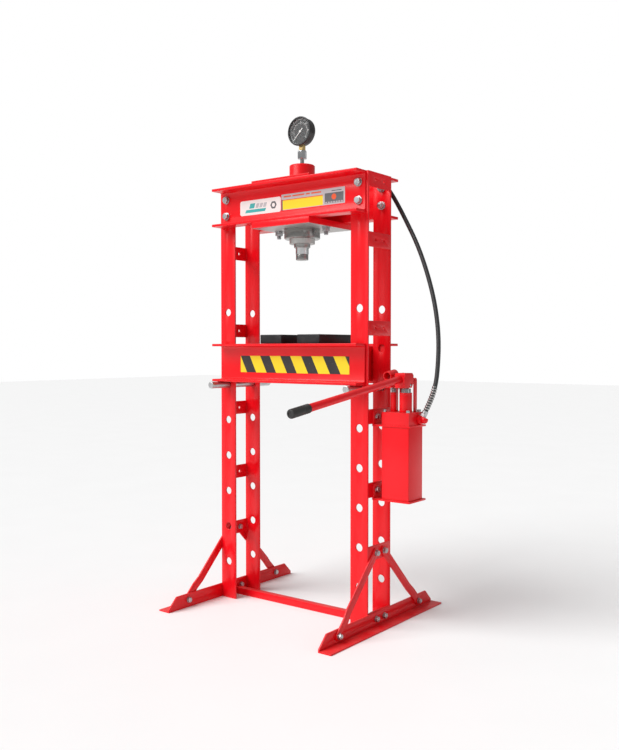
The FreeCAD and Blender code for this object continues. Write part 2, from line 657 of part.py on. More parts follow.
def cylinder():
    """The cylinder hangs in the lower plate on its collar and is clamped by the ring nut."""
    corners = [("bore_radius", NOSE_BOTTOM), ("cylinder_radius", NOSE_BOTTOM),
               ("cylinder_radius", "beam_bottom"),
               ("collar_radius", "beam_bottom"), ("collar_radius", "beam_bottom + collar_high"),
               ("cylinder_radius", "beam_bottom + collar_high"), ("cylinder_radius", "cylinder_top - 3"),
               ("cylinder_radius - 3", "cylinder_top"), ("nipple_radius / 2", "cylinder_top"),
               ("nipple_radius / 2", "cylinder_top - cylinder_roof"),
               ("bore_radius", "cylinder_top - cylinder_roof")]
    barrel = turned("cylinder_blank", corners)
    port = rod("OilPort", "hose_wide / 4", "2 * cylinder_radius", 0, 0, "port_level")
    port.Placement.Rotation = FreeCAD.Rotation(FreeCAD.Vector(0, 0, 1), PORT_WAY)
    node("cylinder_body", cut("CylinderBody", barrel, port))

    inner = "cylinder_radius + fit_gap"
    top, bottom = PLATE_BOTTOM, "(%s - ring_nut_high)" % PLATE_BOTTOM
    ring = turned("ring_nut", [(inner, bottom), ("ring_nut_radius - 3", bottom),
                               ("ring_nut_radius", bottom + " + 3"), ("ring_nut_radius", top), (inner, top)])
    holes = []
    for angle in (0, 90, 180, 270):
        hole = rod("SpannerHole", "seal_deep", "ring_nut_radius / 5", 0, 0, bottom + " + ring_nut_high / 2")
        way = FreeCAD.Vector(math.cos(math.radians(angle - 45)), math.sin(math.radians(angle - 45)), 0)
        hole.Placement.Rotation = FreeCAD.Rotation(FreeCAD.Vector(0, 0, 1), way)
        hole.setExpression("Placement.Base.x", bound("ring_nut_radius * 0.9 * %.9f" % way.x))
        hole.setExpression("Placement.Base.y", bound("ring_nut_radius * 0.9 * %.9f" % way.y))
        holes.append(hole)
    node("ring_nut", cut("RingNut", ring, *holes))

    wiper_out, wiper_high = "ram_radius + 3", "gland_high / 2"
    shaft = "ram_radius + seat_gap"
    node("gland", turned("gland", [
        (wiper_out, GLAND_BOTTOM), ("gland_radius - 2", GLAND_BOTTOM),
        ("gland_radius", GLAND_BOTTOM + " + 2"), ("gland_radius", NOSE_BOTTOM),
        ("bore_radius - fit_gap", NOSE_BOTTOM), ("bore_radius - fit_gap", GLAND_TOP), (shaft, GLAND_TOP),
        (shaft, GLAND_BOTTOM + " + " + wiper_high), (wiper_out, GLAND_BOTTOM + " + " + wiper_high)]))
    node("ram_wiper", turned("wiper", [
        ("ram_radius + seat_gap", GLAND_BOTTOM + " + 0.5"),
        (wiper_out + " - fit_gap", GLAND_BOTTOM + " + 0.5"),
        (wiper_out + " - fit_gap", GLAND_BOTTOM + " + %s" % wiper_high),
        ("ram_radius + seat_gap", GLAND_BOTTOM + " + %s" % wiper_high)]))

    piston_top = "(piston_level + piston_high)"
    groove_low, groove_high = "(piston_level + 8)", "(piston_level + 8 + seal_high)"
    piston, groove = "(bore_radius - seat_gap)", "(bore_radius - seat_gap - seal_deep)"
    nose_top = "(%s + ram_nose_high)" % RAM_END
    spigot, spigot_high = "ram_nose_radius / 2", "ram_nose_high"
    node("ram", turned("ram", [
        (spigot + " + fit_gap", nose_top), ("ram_radius", nose_top), ("ram_radius", "piston_level"),
        (piston, "piston_level"), (piston, groove_low), (groove, groove_low), (groove, groove_high),
        (piston, groove_high), (piston, piston_top), (0, piston_top),
        (0, nose_top + " + %s + fit_gap" % spigot_high),
        (spigot + " + fit_gap", nose_top + " + %s + fit_gap" % spigot_high)]))
    node("ram_nose", turned("nose", [
        (0, RAM_END), ("ram_nose_radius - 1.5", RAM_END), ("ram_nose_radius", RAM_END + " + 1.5"),
        ("ram_nose_radius", nose_top), (spigot, nose_top), (spigot, nose_top + " + " + spigot_high),
        (0, nose_top + " + " + spigot_high)]))
    node("piston_seal", turned("seal", [
        (groove, groove_low), ("bore_radius - seat_gap", groove_low), ("bore_radius - seat_gap", groove_high),
        (groove, groove_high)]))
    return_spring()


def return_spring():
    """A coil round the ram, between the gland and the piston."""
    wire = size("spring_wire") / 2
    low, high = size(GLAND_TOP) + wire + 0.2, size("piston_level") - wire - 0.2
    radius = (size("ram_radius") + size("bore_radius")) / 2
    helix = Part.makeHelix((high - low) / size("spring_turns"), high - low, radius)
    start = FreeCAD.Vector(radius, 0, 0)
    section = Part.Wire(Part.makeCircle(wire, start, FreeCAD.Vector(0, 1, 0)))
    coil = Part.Wire(helix.Edges).makePipeShell([section], True, True)
    coil.translate(FreeCAD.Vector(0, 0, low))
    node("return_spring", shaped("spring", coil))


# ---- Pressure gauge ----------------------------------------------------------------------------------
def gauge():
    """A dial gauge facing forwards on a nipple, a coupling and its own square neck."""
    bottom, top = "coupling_bottom", "(coupling_bottom + coupling_high)"
    node("gauge_nipple", turned("nipple", [
        ("nipple_radius / 2", "cylinder_top"), ("nipple_radius", "cylinder_top"), ("nipple_radius", bottom),
        ("nipple_radius / 2", bottom)]))
    bore = rod("CouplingBore", "nipple_radius / 2", "2 * coupling_high", 0, 0, bottom + " - 1")
    ends = turned("coupling_ends", [
        (0, bottom), ("coupling_flats / 2", bottom), ("coupling_flats * 0.58", bottom + " + 3"),
        ("coupling_flats * 0.58", top + " - 3"), ("coupling_flats / 2", top), (0, top)])
    blank = doc.addObject("Part::Common", "CouplingForm")
    blank.Base = hexagon("CouplingHex", "coupling_flats", "coupling_high", 0, 0, bottom)
    blank.Tool = ends
    node("gauge_coupling", cut("Coupling", blank, bore))

    half = "neck_side / 2"
    back = "(gauge_deep - gauge_front)"
    neck_top = "(gauge_level - case_radius + 10)"
    neck = box("NeckBlank", "-" + half, "-" + half, top, "neck_side", "neck_side",
               "%s - %s" % (neck_top, top))
    node("gauge_neck", cut("Neck", neck, rod("NeckBore", "nipple_radius / 3", "coupling_high", 0, 0, top)))

    floor_at = back
    case = turned("gauge_case", [
        (0, "gauge_deep - 3"), ("case_radius - 3", "gauge_deep - 3"), ("case_radius - 3", "bezel_deep"),
        ("case_radius", "bezel_deep"), ("case_radius", "gauge_deep - 4"), ("case_radius - 4", "gauge_deep"),
        (0, "gauge_deep")], 0, "-gauge_front", "gauge_level", "Y")
    slot = box("NeckSlot", "-%s - fit_gap" % half, "-%s - fit_gap" % half, top, "neck_side + 2 * fit_gap",
               "neck_side + 2 * fit_gap", "%s - %s + fit_gap" % (neck_top, top))
    node("gauge_case", cut("Case", case, slot))
    node("gauge_bezel", turned("bezel", [
        ("gauge_radius - 6", 0), ("gauge_radius - 2", 0), ("gauge_radius", 2),
        ("gauge_radius", "bezel_deep - 1"),
        ("gauge_radius - 2", "bezel_deep"), ("case_radius - 3", "bezel_deep"), ("case_radius - 3", 3),
        ("gauge_radius - 6", 3)], 0, "-gauge_front", "gauge_level", "Y"))
    node("gauge_lens", turned("lens", [
        (0, 3), ("case_radius - 3 - fit_gap", 3), ("case_radius - 3 - fit_gap", 5), (0, 5)],
        0, "-gauge_front", "gauge_level", "Y"))
    node("gauge_dial", turned("dial", [
        ("nipple_radius / 3 + seat_gap", 10), ("case_radius - 3", 10), ("case_radius - 3", 11),
        ("nipple_radius / 3 + seat_gap", 11)], 0, "-gauge_front", "gauge_level", "Y"))
    needle()
    bourdon(back, neck_top)


def needle():
    """A tapered pointer on a spindle that runs through the dial; it rests at the scale's start."""
    tip, tail = size("needle_long"), 0.36 * size("needle_long")
    flat = Part.Face(Part.makePolygon([
        FreeCAD.Vector(-1.9, 0, -tail), FreeCAD.Vector(1.9, 0, -tail), FreeCAD.Vector(0.5, 0, tip),
        FreeCAD.Vector(-0.5, 0, tip), FreeCAD.Vector(-1.9, 0, -tail)]))
    pointer = flat.extrude(FreeCAD.Vector(0, 0.8, 0))
    front = -size("gauge_front")
    pointer.translate(FreeCAD.Vector(0, front + 7.2, 0))
    hub = Part.makeCylinder(4, 1.8, FreeCAD.Vector(0, front + 6.4, 0), FreeCAD.Vector(0, 1, 0))
    spindle = Part.makeCylinder(size("nipple_radius / 3"), 12, FreeCAD.Vector(0, front + 8, 0),
                                FreeCAD.Vector(0, 1, 0))
    shape = pointer.fuse([hub, spindle]).removeSplitter()
    shape.rotate(FreeCAD.Vector(), FreeCAD.Vector(0, 1, 0), -135)
    shape.translate(FreeCAD.Vector(0, 0, size("gauge_level")))
    node("gauge_needle", shaped("needle", shape))


def bourdon(back, neck_top):
    """The curved spring tube inside the gauge, standing on the neck."""
    radius, bore = 0.56 * size("case_radius"), 4.0
    middle_y = size(back) - size("bezel_deep")
    centre = FreeCAD.Vector(0, middle_y, size("gauge_level"))
    tube = Part.makeTorus(radius, bore, centre, FreeCAD.Vector(0, 1, 0), 0, 360, 250)
    tube.rotate(centre, FreeCAD.Vector(0, 1, 0), 90)
    stand_top = size("gauge_level") - radius
    stand = Part.makeBox(10, 8, stand_top - size(neck_top),
                         FreeCAD.Vector(-5, middle_y - 4, size(neck_top)))
    joined = tube.fuse(stand).removeSplitter()
    node("bourdon_tube", shaped("bourdon", joined))


# ---- Bed, press plates and pins ----------------------------------------------------------------------
PIN_HOLE = "(pin_hole_low + bed_level * pin_pitch)"
PIN_LEVEL = "(%s - (pin_hole_wide - pin_wide) / 2 + seat_gap)" % PIN_HOLE
BED_BOTTOM = "(%s + pin_wide / 2 + seat_gap)" % PIN_LEVEL
BED_TOP = "(%s + beam_high)" % BED_BOTTOM


def bed():
    """Two channels either side of the uprights, held together by spacers and carried on two pins."""
    face = "frame_depth / 2 + slide_gap"
    for end, name in ((FRONT, "bed_channel_front"), (REAR, "bed_channel_rear")):
        node(name, channel(name, end, face, BED_BOTTOM))
    spacers = []
    for side in (LEFT, RIGHT):
        start = "inner_width / 2 - spacer_clear - spacer_thick" if side == RIGHT else (
            "spacer_clear - inner_width / 2")
        spacers.append(box("Spacer", start, "-(%s)" % face, BED_BOTTOM + " + flange_thick", "spacer_thick",
                           "2 * (%s)" % face, "beam_high - 2 * flange_thick"))
    node("bed_spacers", bundle("BedSpacers", spacers))

    for name, start in (("press_plate_left", "plate_left_start"), ("press_plate_right", "plate_right_start")):
        blank = box("PlateBlank", start, "-plate_deep / 2", BED_TOP + " + seat_gap",
                    "plate_wide", "plate_deep",
                    "plate_thick")
        soft = doc.addObject("Part::Chamfer", "PlateEdges")
        doc.recompute()
        soft.Base = blank
        soft.Edges = [(index + 1, 1.5, 1.5) for index in range(len(blank.Shape.Edges))]
        node(name, soft)

    for side, name, offset in ((LEFT, "bed_pin_left", -1.5), (RIGHT, "bed_pin_right", 13)):
        half, edge = "pin_long / 2", "pin_wide / 2 - 1.5"
        node(name, turned(name, [
            (0, "-" + half), (edge, "-" + half), ("pin_wide / 2", "1.5 - " + half),
            ("pin_wide / 2", half + " - 1.5"), (edge, half), (0, half)],
            "%d * %s" % (side, POST_MIDDLE), offset, PIN_LEVEL, "Y"))


# ---- Hand pump ---------------------------------------------------------------------------------------


SCREW_PLACES = [("tank_start + 8", "8 - tank_front"), ("tank_start + tank_wide - 8", "8 - tank_front"),
                ("(small_pump + large_pump) / 2 - 3", "tank_deep - tank_front - 10"),
                ("tank_start + tank_wide - 8", "tank_deep - tank_front - 10")]


def screw_holes():
    """Holes for the screws that hold the pump body on the upper bracket."""
    return [rod("ScrewHole", "screw_radius + thread_play", "body_high + 3 * bar_thick", x, y,
                "bracket_high - bar_thick") for x, y in SCREW_PLACES]


def pump_bracket(level):
    """A bent plate: a shelf for the tank and an upstand bolted to a batten."""
    deep = "bracket_front + bracket_back"
    shelf = box("Shelf", "outer_face", "-bracket_front", level, "bracket_reach", deep, "bar_thick")
    upstand = box("Upstand", "outer_face", "-bracket_front", level, "bar_thick", deep, "bracket_rise")
    return fuse("Bracket", shelf, upstand)


def pump_brackets():
    drills = []
    for level in (LOWER_BRACKET, UPPER_BRACKET):
        drills += [rod("BracketHole", "small_hole / 2", "3 * bar_thick", "outer_face - bar_thick",
                       "%d * batten_hole_pitch / 2" % end, level, "X") for end in (FRONT, REAR)]
    lower = cut("LowerBracket", pump_bracket("bracket_low"), *drills[:2])
    upper = cut("UpperBracket", pump_bracket("bracket_high"), *drills[2:], *screw_holes())
    node("tank_brackets", bundle("TankBrackets", [lower, upper]))


def tank():
    """The oil tank stands between the brackets, and the pump body on the upper one."""
    low, high = "(bracket_low + bar_thick)", "bracket_high"
    outer = box("TankOuter", "tank_start", "-tank_front", low, "tank_wide", "tank_deep",
                "%s - %s" % (high, low))
    inner = box("TankInner", "tank_start + tank_wall", "tank_wall - tank_front", low + " + tank_wall",
                "tank_wide - 2 * tank_wall", "tank_deep - 2 * tank_wall",
                "%s - %s - 2 * tank_wall" % (high, low))
    node("oil_tank", cut("OilTank", outer, inner))

    block = box("BodyBlank", "tank_start", "-tank_front", "body_bottom",
                "tank_wide", "tank_deep", "body_high")
    bores = [rod("BodyBore", kind + "_plunger + seat_gap", "body_high", kind + "_pump", "pump_row",
                 "body_top - body_high / 2") for kind in ("small", "large")]
    bores += screw_holes()
    outlet = rod("Outlet", "hose_wide / 4", "tank_wide / 4", "tank_start + tank_wide * 0.8", "elbow_back",
                 "elbow_level", "X")
    stem = rod("StemHole", "knob_stem + running_gap", "tank_deep / 4", "knob_start",
               "tank_deep * 0.8 - tank_front", "knob_level", "Y")
    node("pump_body", cut("PumpBody", block, outlet, stem, *bores))

    barrels = []
    for kind in ("small", "large"):
        bore, out = kind + "_plunger + seat_gap", kind + "_barrel"
        lip = "barrel_top - 8"
        barrels.append(turned(kind + "_barrel", [
            (bore, "body_top"), (out, "body_top"), (out, lip), (out + " - 1", lip + " + 0.5"),
            (out + " - 1", lip + " + 1.5"), (out, lip + " + 2"), (out, "barrel_top - 1"),
            (out + " - 1", "barrel_top"), (bore, "barrel_top")], kind + "_pump", "pump_row"))
    node("pump_barrels", bundle("PumpBarrels", barrels))

    screws = []
    for x, y in SCREW_PLACES:
        head = rod("ScrewHead", "1.6 * screw_radius", "2 * screw_radius", x, y, "body_top")
        socket = hexagon("ScrewSocket", "1.5 * screw_radius", "2 * screw_radius", x, y,
                         "body_top + screw_radius")
        shank = rod("ScrewShank", "screw_radius", "body_high + bar_thick", x, y, "bracket_high")
        screws.append(cut("Screw", fuse("ScrewBlank", head, shank), socket))
    node("pump_screws", bundle("PumpScrews", screws))

    plug = hexagon("PlugHex", "0.75 * plug_ledge", "small_head_high", "plug_start", "plug_back",
                   "body_bottom + 2")
    seal = rod("PlugWasher", "0.45 * plug_ledge", 2, "plug_start", "plug_back", "body_bottom")
    node("filler_plug", fuse("FillerPlug", plug, seal))
    face = "(tank_deep - tank_front)"
    node("release_knob", turned("release_knob", [
        (0, "-tank_deep / 8"), ("knob_stem", "-tank_deep / 8"), ("knob_stem", 8), ("knob_radius - 2", 8),
        ("knob_radius", 10), ("knob_radius", "6 + knob_radius"), ("knob_radius - 2", "8 + knob_radius"),
        (0, "8 + knob_radius")], "knob_start", face, "knob_level", "Y"))


def plunger(kind):
    """A polished plunger with a flat eye for the rocker's pin.  It stands in its barrel."""
    radius, tongue = size(kind + "_plunger"), size(kind + "_tongue") / 2
    x, y = size(kind + "_pump"), size("pump_row")
    foot_level = size("body_top") - 10
    top, eye = size("plunger_top"), size("eye_level")
    shaft = Part.makeCylinder(radius, top - foot_level, FreeCAD.Vector(x, y, foot_level))
    shaft = shaft.makeChamfer(1, [edge for edge in shaft.Edges if abs(edge.CenterOfMass.z - top) < 0.01
                                  and edge.Length > radius * 6])
    neck = Part.makeBox(2 * tongue, size("eye_radius * 2"), eye - top + 1,
                        FreeCAD.Vector(x - tongue, y - size("eye_radius"), top - 1))

    def crosswise(radius, half):
        return Part.makeCylinder(radius, 2 * half, FreeCAD.Vector(x - half, y, eye), FreeCAD.Vector(1, 0, 0))

    ring = crosswise(size("eye_radius"), tongue)
    hole = crosswise(size("eye_pin + running_gap"), 2 * tongue)
    body = shaft.fuse([neck, ring]).removeSplitter().cut(hole)
    pin = crosswise(size("eye_pin"), size(kind + "_head") / 2)
    node(kind + "_plunger", bundle(kind + "_plunger_set", [shaped("plunger", body),
                                                           shaped("plunger_pin", pin)]))


def rocker(kind):
    """A lever with a handle socket in front, a slotted fork over the plunger's eye and a pivot behind."""
    x, half = size(kind + "_pump"), size(kind + "_head") / 2
    tail = size(kind + "_tail") / 2
    front, bottom, top = -size("rocker_front"), size("rocker_bottom"), size("rocker_top")
    back, level = size("pivot_back"), size("pivot_level")
    boss = size("link_radius")
    row, eye = size("pump_row"), size("eye_level")
    clear = size("eye_radius") + 1.3
    rear = back - 16

    def slab(points, half_width):
        wire = Part.makePolygon([FreeCAD.Vector(x - half_width, y, z) for y, z in points + points[:1]])
        return Part.Face(wire).extrude(FreeCAD.Vector(2 * half_width, 0, 0))

    head_form = slab([(front, bottom), (row + 6, bottom), (rear, level - 8), (rear, top - 8), (rear - 8, top),
                      (front + 2, top), (front, top - 2)], half)
    tail_form = slab([(rear - 4, level - 8), (back, level - boss), (back, level + boss),
                      (rear - 4, level + boss)],
                     tail)
    across = FreeCAD.Vector(1, 0, 0)
    end_round = Part.makeCylinder(boss, 2 * tail, FreeCAD.Vector(x - tail, back, level), across)
    droop = math.radians(size("handle_droop"))
    inward = FreeCAD.Vector(0, math.cos(droop), math.sin(droop))
    mouth = FreeCAD.Vector(x, front - 3, size(kind + "_socket_level"))
    sleeve = Part.makeCylinder(size(kind + "_boss"), size(kind + "_sleeve"), mouth, inward)
    solid = head_form.fuse([tail_form, end_round, sleeve]).removeSplitter()

    bore = Part.makeCylinder(size("socket_radius"), size("socket_deep") + 5, mouth - inward * 5, inward)
    fork = size(kind + "_tongue") / 2 + 1
    slot = Part.makeBox(2 * fork, 2 * clear + 12, eye + clear + size("eye_room") - bottom + 4,
                        FreeCAD.Vector(x - fork, row - clear, bottom - 4))
    pivot = Part.makeCylinder(size("pivot_pin + running_gap"), 4 * half,
                              FreeCAD.Vector(x - 2 * half, back, level), across)
    lean = math.degrees(math.atan2(level - eye, back - row))
    wide = 2 * size("eye_pin") + 1
    track = Part.makeBox(4 * half, 3.8, wide, FreeCAD.Vector(x - 2 * half, 0, -wide / 2))
    track = track.fuse([Part.makeCylinder(wide / 2, 4 * half, FreeCAD.Vector(x - 2 * half, y, 0), across)
                        for y in (0, 3.8)])
    track.rotate(FreeCAD.Vector(x, 0, 0), across, lean)
    track.translate(FreeCAD.Vector(0, row - 0.3, eye))
    node(kind + "_rocker", shaped("rocker", solid.cut([bore, slot, pivot, track])))


def fulcrum():
    """Straps that stand on the pump body each side of a rocker's tail, with the pivot pins across them."""
    pieces = []
    base, level, back = size("body_top"), size("pivot_level"), size("pivot_back")
    radius, thick, pin = size("link_radius"), size("link_thick"), size("pivot_pin")
    across = FreeCAD.Vector(1, 0, 0)
    for kind in ("small", "large"):
        middle, tail = size(kind + "_pump"), size(kind + "_tail") / 2
        for side in (LEFT, RIGHT):
            start = middle + tail + 0.4 if side == RIGHT else middle - tail - 0.4 - thick
            strap = Part.makeBox(thick, 2 * radius, level - base, FreeCAD.Vector(start, back - radius, base))
            strap = strap.fuse(Part.makeCylinder(radius, thick, FreeCAD.Vector(start, back, level), across))
            strap = strap.removeSplitter().cut(Part.makeCylinder(
                pin + 0.02, 3 * thick, FreeCAD.Vector(start - thick, back, level), across))
            pieces.append(shaped("strap", strap))
        half = tail + 0.4 + thick + 1.5
        pivot = Part.makeCylinder(pin, 2 * half, FreeCAD.Vector(middle - half, back, level), across)
        pieces.append(shaped("pivot", pivot))
    node("fulcrum_links", bundle("FulcrumLinks", pieces))


def handle():
    """The pump handle sits in the large rocker's socket and droops forwards."""
    droop = math.radians(size("handle_droop"))
    outward = FreeCAD.Vector(0, -math.cos(droop), -math.sin(droop))
    mouth = FreeCAD.Vector(size("large_pump"), -size("rocker_front") - 3, size("large_socket_level"))
    inner_end = mouth - outward * (size("socket_deep") - 1)
    radius, wall = size("handle_radius"), size("handle_wall")
    grip, cover = size("grip_long"), size("grip_wall")
    reach = size("handle_long")
    tube_long = reach - 2 * cover + size("socket_deep") - 1
    tube = Part.makeCylinder(radius, tube_long, inner_end, outward)
    tube = tube.cut(Part.makeCylinder(radius - wall, tube_long, inner_end, outward))
    node("handle", shaped("handle", tube))

    grip_start = mouth + outward * (reach - grip)
    sleeve = Part.makeCylinder(radius + cover, grip, grip_start, outward)
    sleeve = sleeve.makeFillet(cover * 0.9, [edge for edge in sleeve.Edges if edge.Length > 6 * radius])
    hollow = Part.makeCylinder(radius + 0.05, grip - 2 * cover, grip_start, outward)
    node("handle_grip", shaped("grip", sleeve.cut(hollow)))


# ---- Hose --------------------------------------------------------------------------------------------
def rounded_route(points):
    """Straight runs joined by tangent arcs; each arc is as large as its two runs allow."""
    corners = [FreeCAD.Vector(*point) for point in points]
    edges, radii = [], []
    start = corners[0]
    for before, corner, after in zip(corners, corners[1:], corners[2:]):
        into, out = (corner - before).normalize(), (after - corner).normalize()
        turn = into.getAngle(out)
        trim = 0.45 * min((corner - before).Length, (after - corner).Length)
        radii.append(trim / math.tan(turn / 2))
        first, last = corner - into * trim, corner + out * trim
        bulge = (out - into).normalize()
        centre = corner + bulge * (radii[-1] / math.cos(turn / 2))
        middle = centre - bulge * radii[-1]
        edges += [Part.LineSegment(start, first).toShape(), Part.Arc(first, middle, last).toShape()]
        start = last
    edges.append(Part.LineSegment(start, corners[-1]).toShape())
    return edges, radii


def piped(edges, radius, inner=0.0):
    way = edges[0].tangentAt(edges[0].FirstParameter)
    start = edges[0].Vertexes[0].Point
    rings = [Part.Wire(Part.makeCircle(r, start, way)) for r in (radius, inner) if r]
    solids = [Part.Wire(edges).makePipeShell([ring], True, True) for ring in rings]
    return solids[0] if len(solids) == 1 else solids[0].cut(solids[1])


def hose_route():
    """The route's points, moved with the pump at one end and with the cylinder at the other."""
    first, last = HOSE_ROUTE[0], HOSE_ROUTE[-1]
    wider = size("elbow_reach + outer_face") - first[0]
    lower = size("body_top + 4") - first[2]
    upper = size("port_level") - last[2]
    moved = []
    for x, y, z in HOSE_ROUTE:
        across = max(0, (x - 104) / (first[0] - 104))
        along = (z - first[2]) / (last[2] - first[2])
        moved.append((x + wider * across, y, z + lower + (upper - lower) * along))
    return moved


def hose():
    route = hose_route()
    edges, radii = rounded_route(route)
    radius = size("hose_wide") / 2
    tube = piped(edges, radius)
    length = sum(edge.Length for edge in edges)
    print("hose length %.0f, radii %s, volume ratio %.4f" % (
        length, " ".join("%.0f" % r for r in radii), tube.Volume / (math.pi * radius ** 2 * length)))
    node("hose", shaped("hose", tube))
    inside = radius + size("seat_gap")
    node("hose_spring_guard", shaped("guard", piped(edges[:3], inside + size("guard_wall"), inside)))

    first, second = FreeCAD.Vector(*route[0]), FreeCAD.Vector(*route[1])
    last, before = FreeCAD.Vector(*route[-1]), FreeCAD.Vector(*route[-2])
    ends = []
    for point, way in ((first, (first - second).normalize()), (last, (last - before).normalize())):
        ferrule = Part.makeCylinder(radius + size("ferrule_wall"), size("ferrule_long"), point, way)
        nut_start = point + way * size("ferrule_long")
        swivel = hex_along(size("fitting_flats"), size("swivel_long"), nut_start, way)
        ends.append(shaped("hose_end", ferrule.fuse(swivel).removeSplitter()))
    node("hose_fittings", bundle("HoseFittings", ends))
    return first, (first - second).normalize(), last, (last - before).normalize()


def hex_along(flats, length, start, way):
    """A hexagon bar of the given width across its flats."""
    corner = flats / 2 / math.cos(math.radians(30))
    turns = [math.radians(60 * k) for k in range(7)]
    points = [FreeCAD.Vector(corner * math.cos(turn), corner * math.sin(turn), 0) for turn in turns]
    bar = Part.Face(Part.makePolygon(points)).extrude(FreeCAD.Vector(0, 0, length))
    bar.Placement = FreeCAD.Placement(start, FreeCAD.Rotation(FreeCAD.Vector(0, 0, 1), way))
    return bar


def ports(pump_point, pump_way, ram_point, ram_way):
    """The elbow on the pump body and the adapter in the cylinder's side, where the hose screws on."""
    seat = pump_point + pump_way * size("fitting_long")
    face = size("tank_start + tank_wide")
    boss_at = FreeCAD.Vector(face, size("elbow_back"), size("elbow_level"))
    boss = hex_along(size("elbow_flats"), 10, boss_at, FreeCAD.Vector(1, 0, 0))
    barrel = Part.makeCylinder(11, 24, boss_at, FreeCAD.Vector(1, 0, 0))
    knuckle = Part.makeSphere(13, boss_at + FreeCAD.Vector(20, 0, 0))
    knuckle = knuckle.common(Part.makeBox(60, 60, 60, FreeCAD.Vector(face, boss_at.y - 30, boss_at.z - 30)))
    stem_start = boss_at + FreeCAD.Vector(18, 0, 0)
    stem = Part.makeCylinder(9, (seat - stem_start).Length, stem_start, seat - stem_start)
    trim = Part.makeCylinder(40, 40, seat, pump_way * -1)
    node("pump_elbow", shaped("elbow", boss.fuse([barrel, knuckle, stem]).removeSplitter().cut(trim)))

    start = ram_point + ram_way * size("fitting_long")
    reach = FreeCAD.Vector(start.x, start.y, 0).Length - size("cylinder_radius")
    adapter = Part.makeCylinder(9, reach + 6, start, ram_way)
    collar = hex_along(size("fitting_flats"), 0.6 * reach, start, ram_way)
    core = Part.makeCylinder(size("cylinder_radius + running_gap"), size("cylinder_top"))
    node("cylinder_port", shaped("port", adapter.fuse(collar).removeSplitter().cut(core)))


# ---- Build -------------------------------------------------------------------------------------------
side_frames()
head()
floor_parts()
frame_fasteners()
cylinder()
gauge()
bed()
pump_brackets()
tank()
for kind_name in ("small", "large"):
    plunger(kind_name)
    rocker(kind_name)
fulcrum()
handle()
ports(*hose())
doc.recompute()

for item in doc.Objects:
    if any(word in item.State for word in ("Invalid", "Error")):
        raise RuntimeError("%s failed: %s" % (item.Label, item.State))
for item in nodes:
    if item.Shape.isNull() or not item.Shape.isValid() or not item.Shape.Solids:
        raise RuntimeError("%s has no sound shape" % item.Label)
if len(nodes) > MOST_FILES:
    raise RuntimeError("too many nodes: %d" % len(nodes))
os.makedirs("parts", exist_ok=True)
for item in nodes:
    item.Shape.exportStep("parts/%s.step" % item.Label)
print("%d nodes, %d solids" % (len(nodes), sum(len(item.Shape.Solids) for item in nodes)))
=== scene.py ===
"""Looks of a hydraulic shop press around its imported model: metres, +X to the pump, +Y to the rear."""
import json
import math
from contextlib import contextmanager

import bmesh
import bpy
from mathutils import Euler, Matrix, Vector

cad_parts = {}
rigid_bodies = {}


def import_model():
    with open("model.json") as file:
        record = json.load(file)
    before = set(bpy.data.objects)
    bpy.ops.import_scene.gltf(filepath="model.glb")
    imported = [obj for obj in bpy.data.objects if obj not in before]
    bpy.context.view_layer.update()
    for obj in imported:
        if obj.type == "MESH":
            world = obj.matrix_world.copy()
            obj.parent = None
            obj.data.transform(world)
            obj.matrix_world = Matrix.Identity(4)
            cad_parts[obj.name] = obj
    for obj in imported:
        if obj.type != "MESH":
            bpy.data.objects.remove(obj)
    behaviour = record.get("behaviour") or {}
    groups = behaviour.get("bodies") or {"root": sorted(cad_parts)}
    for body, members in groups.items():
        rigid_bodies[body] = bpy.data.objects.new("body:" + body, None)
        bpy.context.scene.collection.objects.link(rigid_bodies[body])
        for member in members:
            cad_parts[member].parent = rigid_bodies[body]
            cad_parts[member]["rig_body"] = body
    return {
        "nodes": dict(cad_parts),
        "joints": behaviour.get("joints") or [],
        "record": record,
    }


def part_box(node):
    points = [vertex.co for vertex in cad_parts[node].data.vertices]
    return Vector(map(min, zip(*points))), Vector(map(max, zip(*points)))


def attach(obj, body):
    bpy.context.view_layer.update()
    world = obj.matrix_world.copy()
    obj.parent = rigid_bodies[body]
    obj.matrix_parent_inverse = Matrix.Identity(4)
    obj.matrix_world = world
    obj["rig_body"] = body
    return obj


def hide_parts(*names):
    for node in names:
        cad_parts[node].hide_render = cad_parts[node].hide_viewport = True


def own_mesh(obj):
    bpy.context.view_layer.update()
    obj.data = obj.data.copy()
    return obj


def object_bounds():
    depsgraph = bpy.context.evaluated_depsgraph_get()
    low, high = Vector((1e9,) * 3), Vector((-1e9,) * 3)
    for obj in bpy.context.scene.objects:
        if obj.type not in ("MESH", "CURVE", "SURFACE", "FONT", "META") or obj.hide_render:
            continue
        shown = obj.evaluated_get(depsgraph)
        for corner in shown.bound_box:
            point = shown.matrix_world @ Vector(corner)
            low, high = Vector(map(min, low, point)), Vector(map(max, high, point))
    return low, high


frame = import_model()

CAD_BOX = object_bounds()
NODES = frame["nodes"]
MM = 0.001

# The camera: its place, how far it looks down and to the left of +Y, and its lens.
CAMERA_PLACE = (1.9466, -2.5024, 0.9498)
CAMERA_DOWN = 1.75
CAMERA_LEFT = 37.4
LENS = 41.8
SENSOR = 36

# Bolt kinds: diameter, flats, head, nut, washer width, washer thickness, end beyond the nut, thread pitch.
BOLTS = {
    "big": (14, 22, 9, 12, 29, 2.5, 4, 2.0),
    "small": (10, 17, 6.5, 8, 21, 2.5, 3, 1.5),
    "tie": (16, 24, 10, 13, 31, 2.5, 12, 2.0),
}

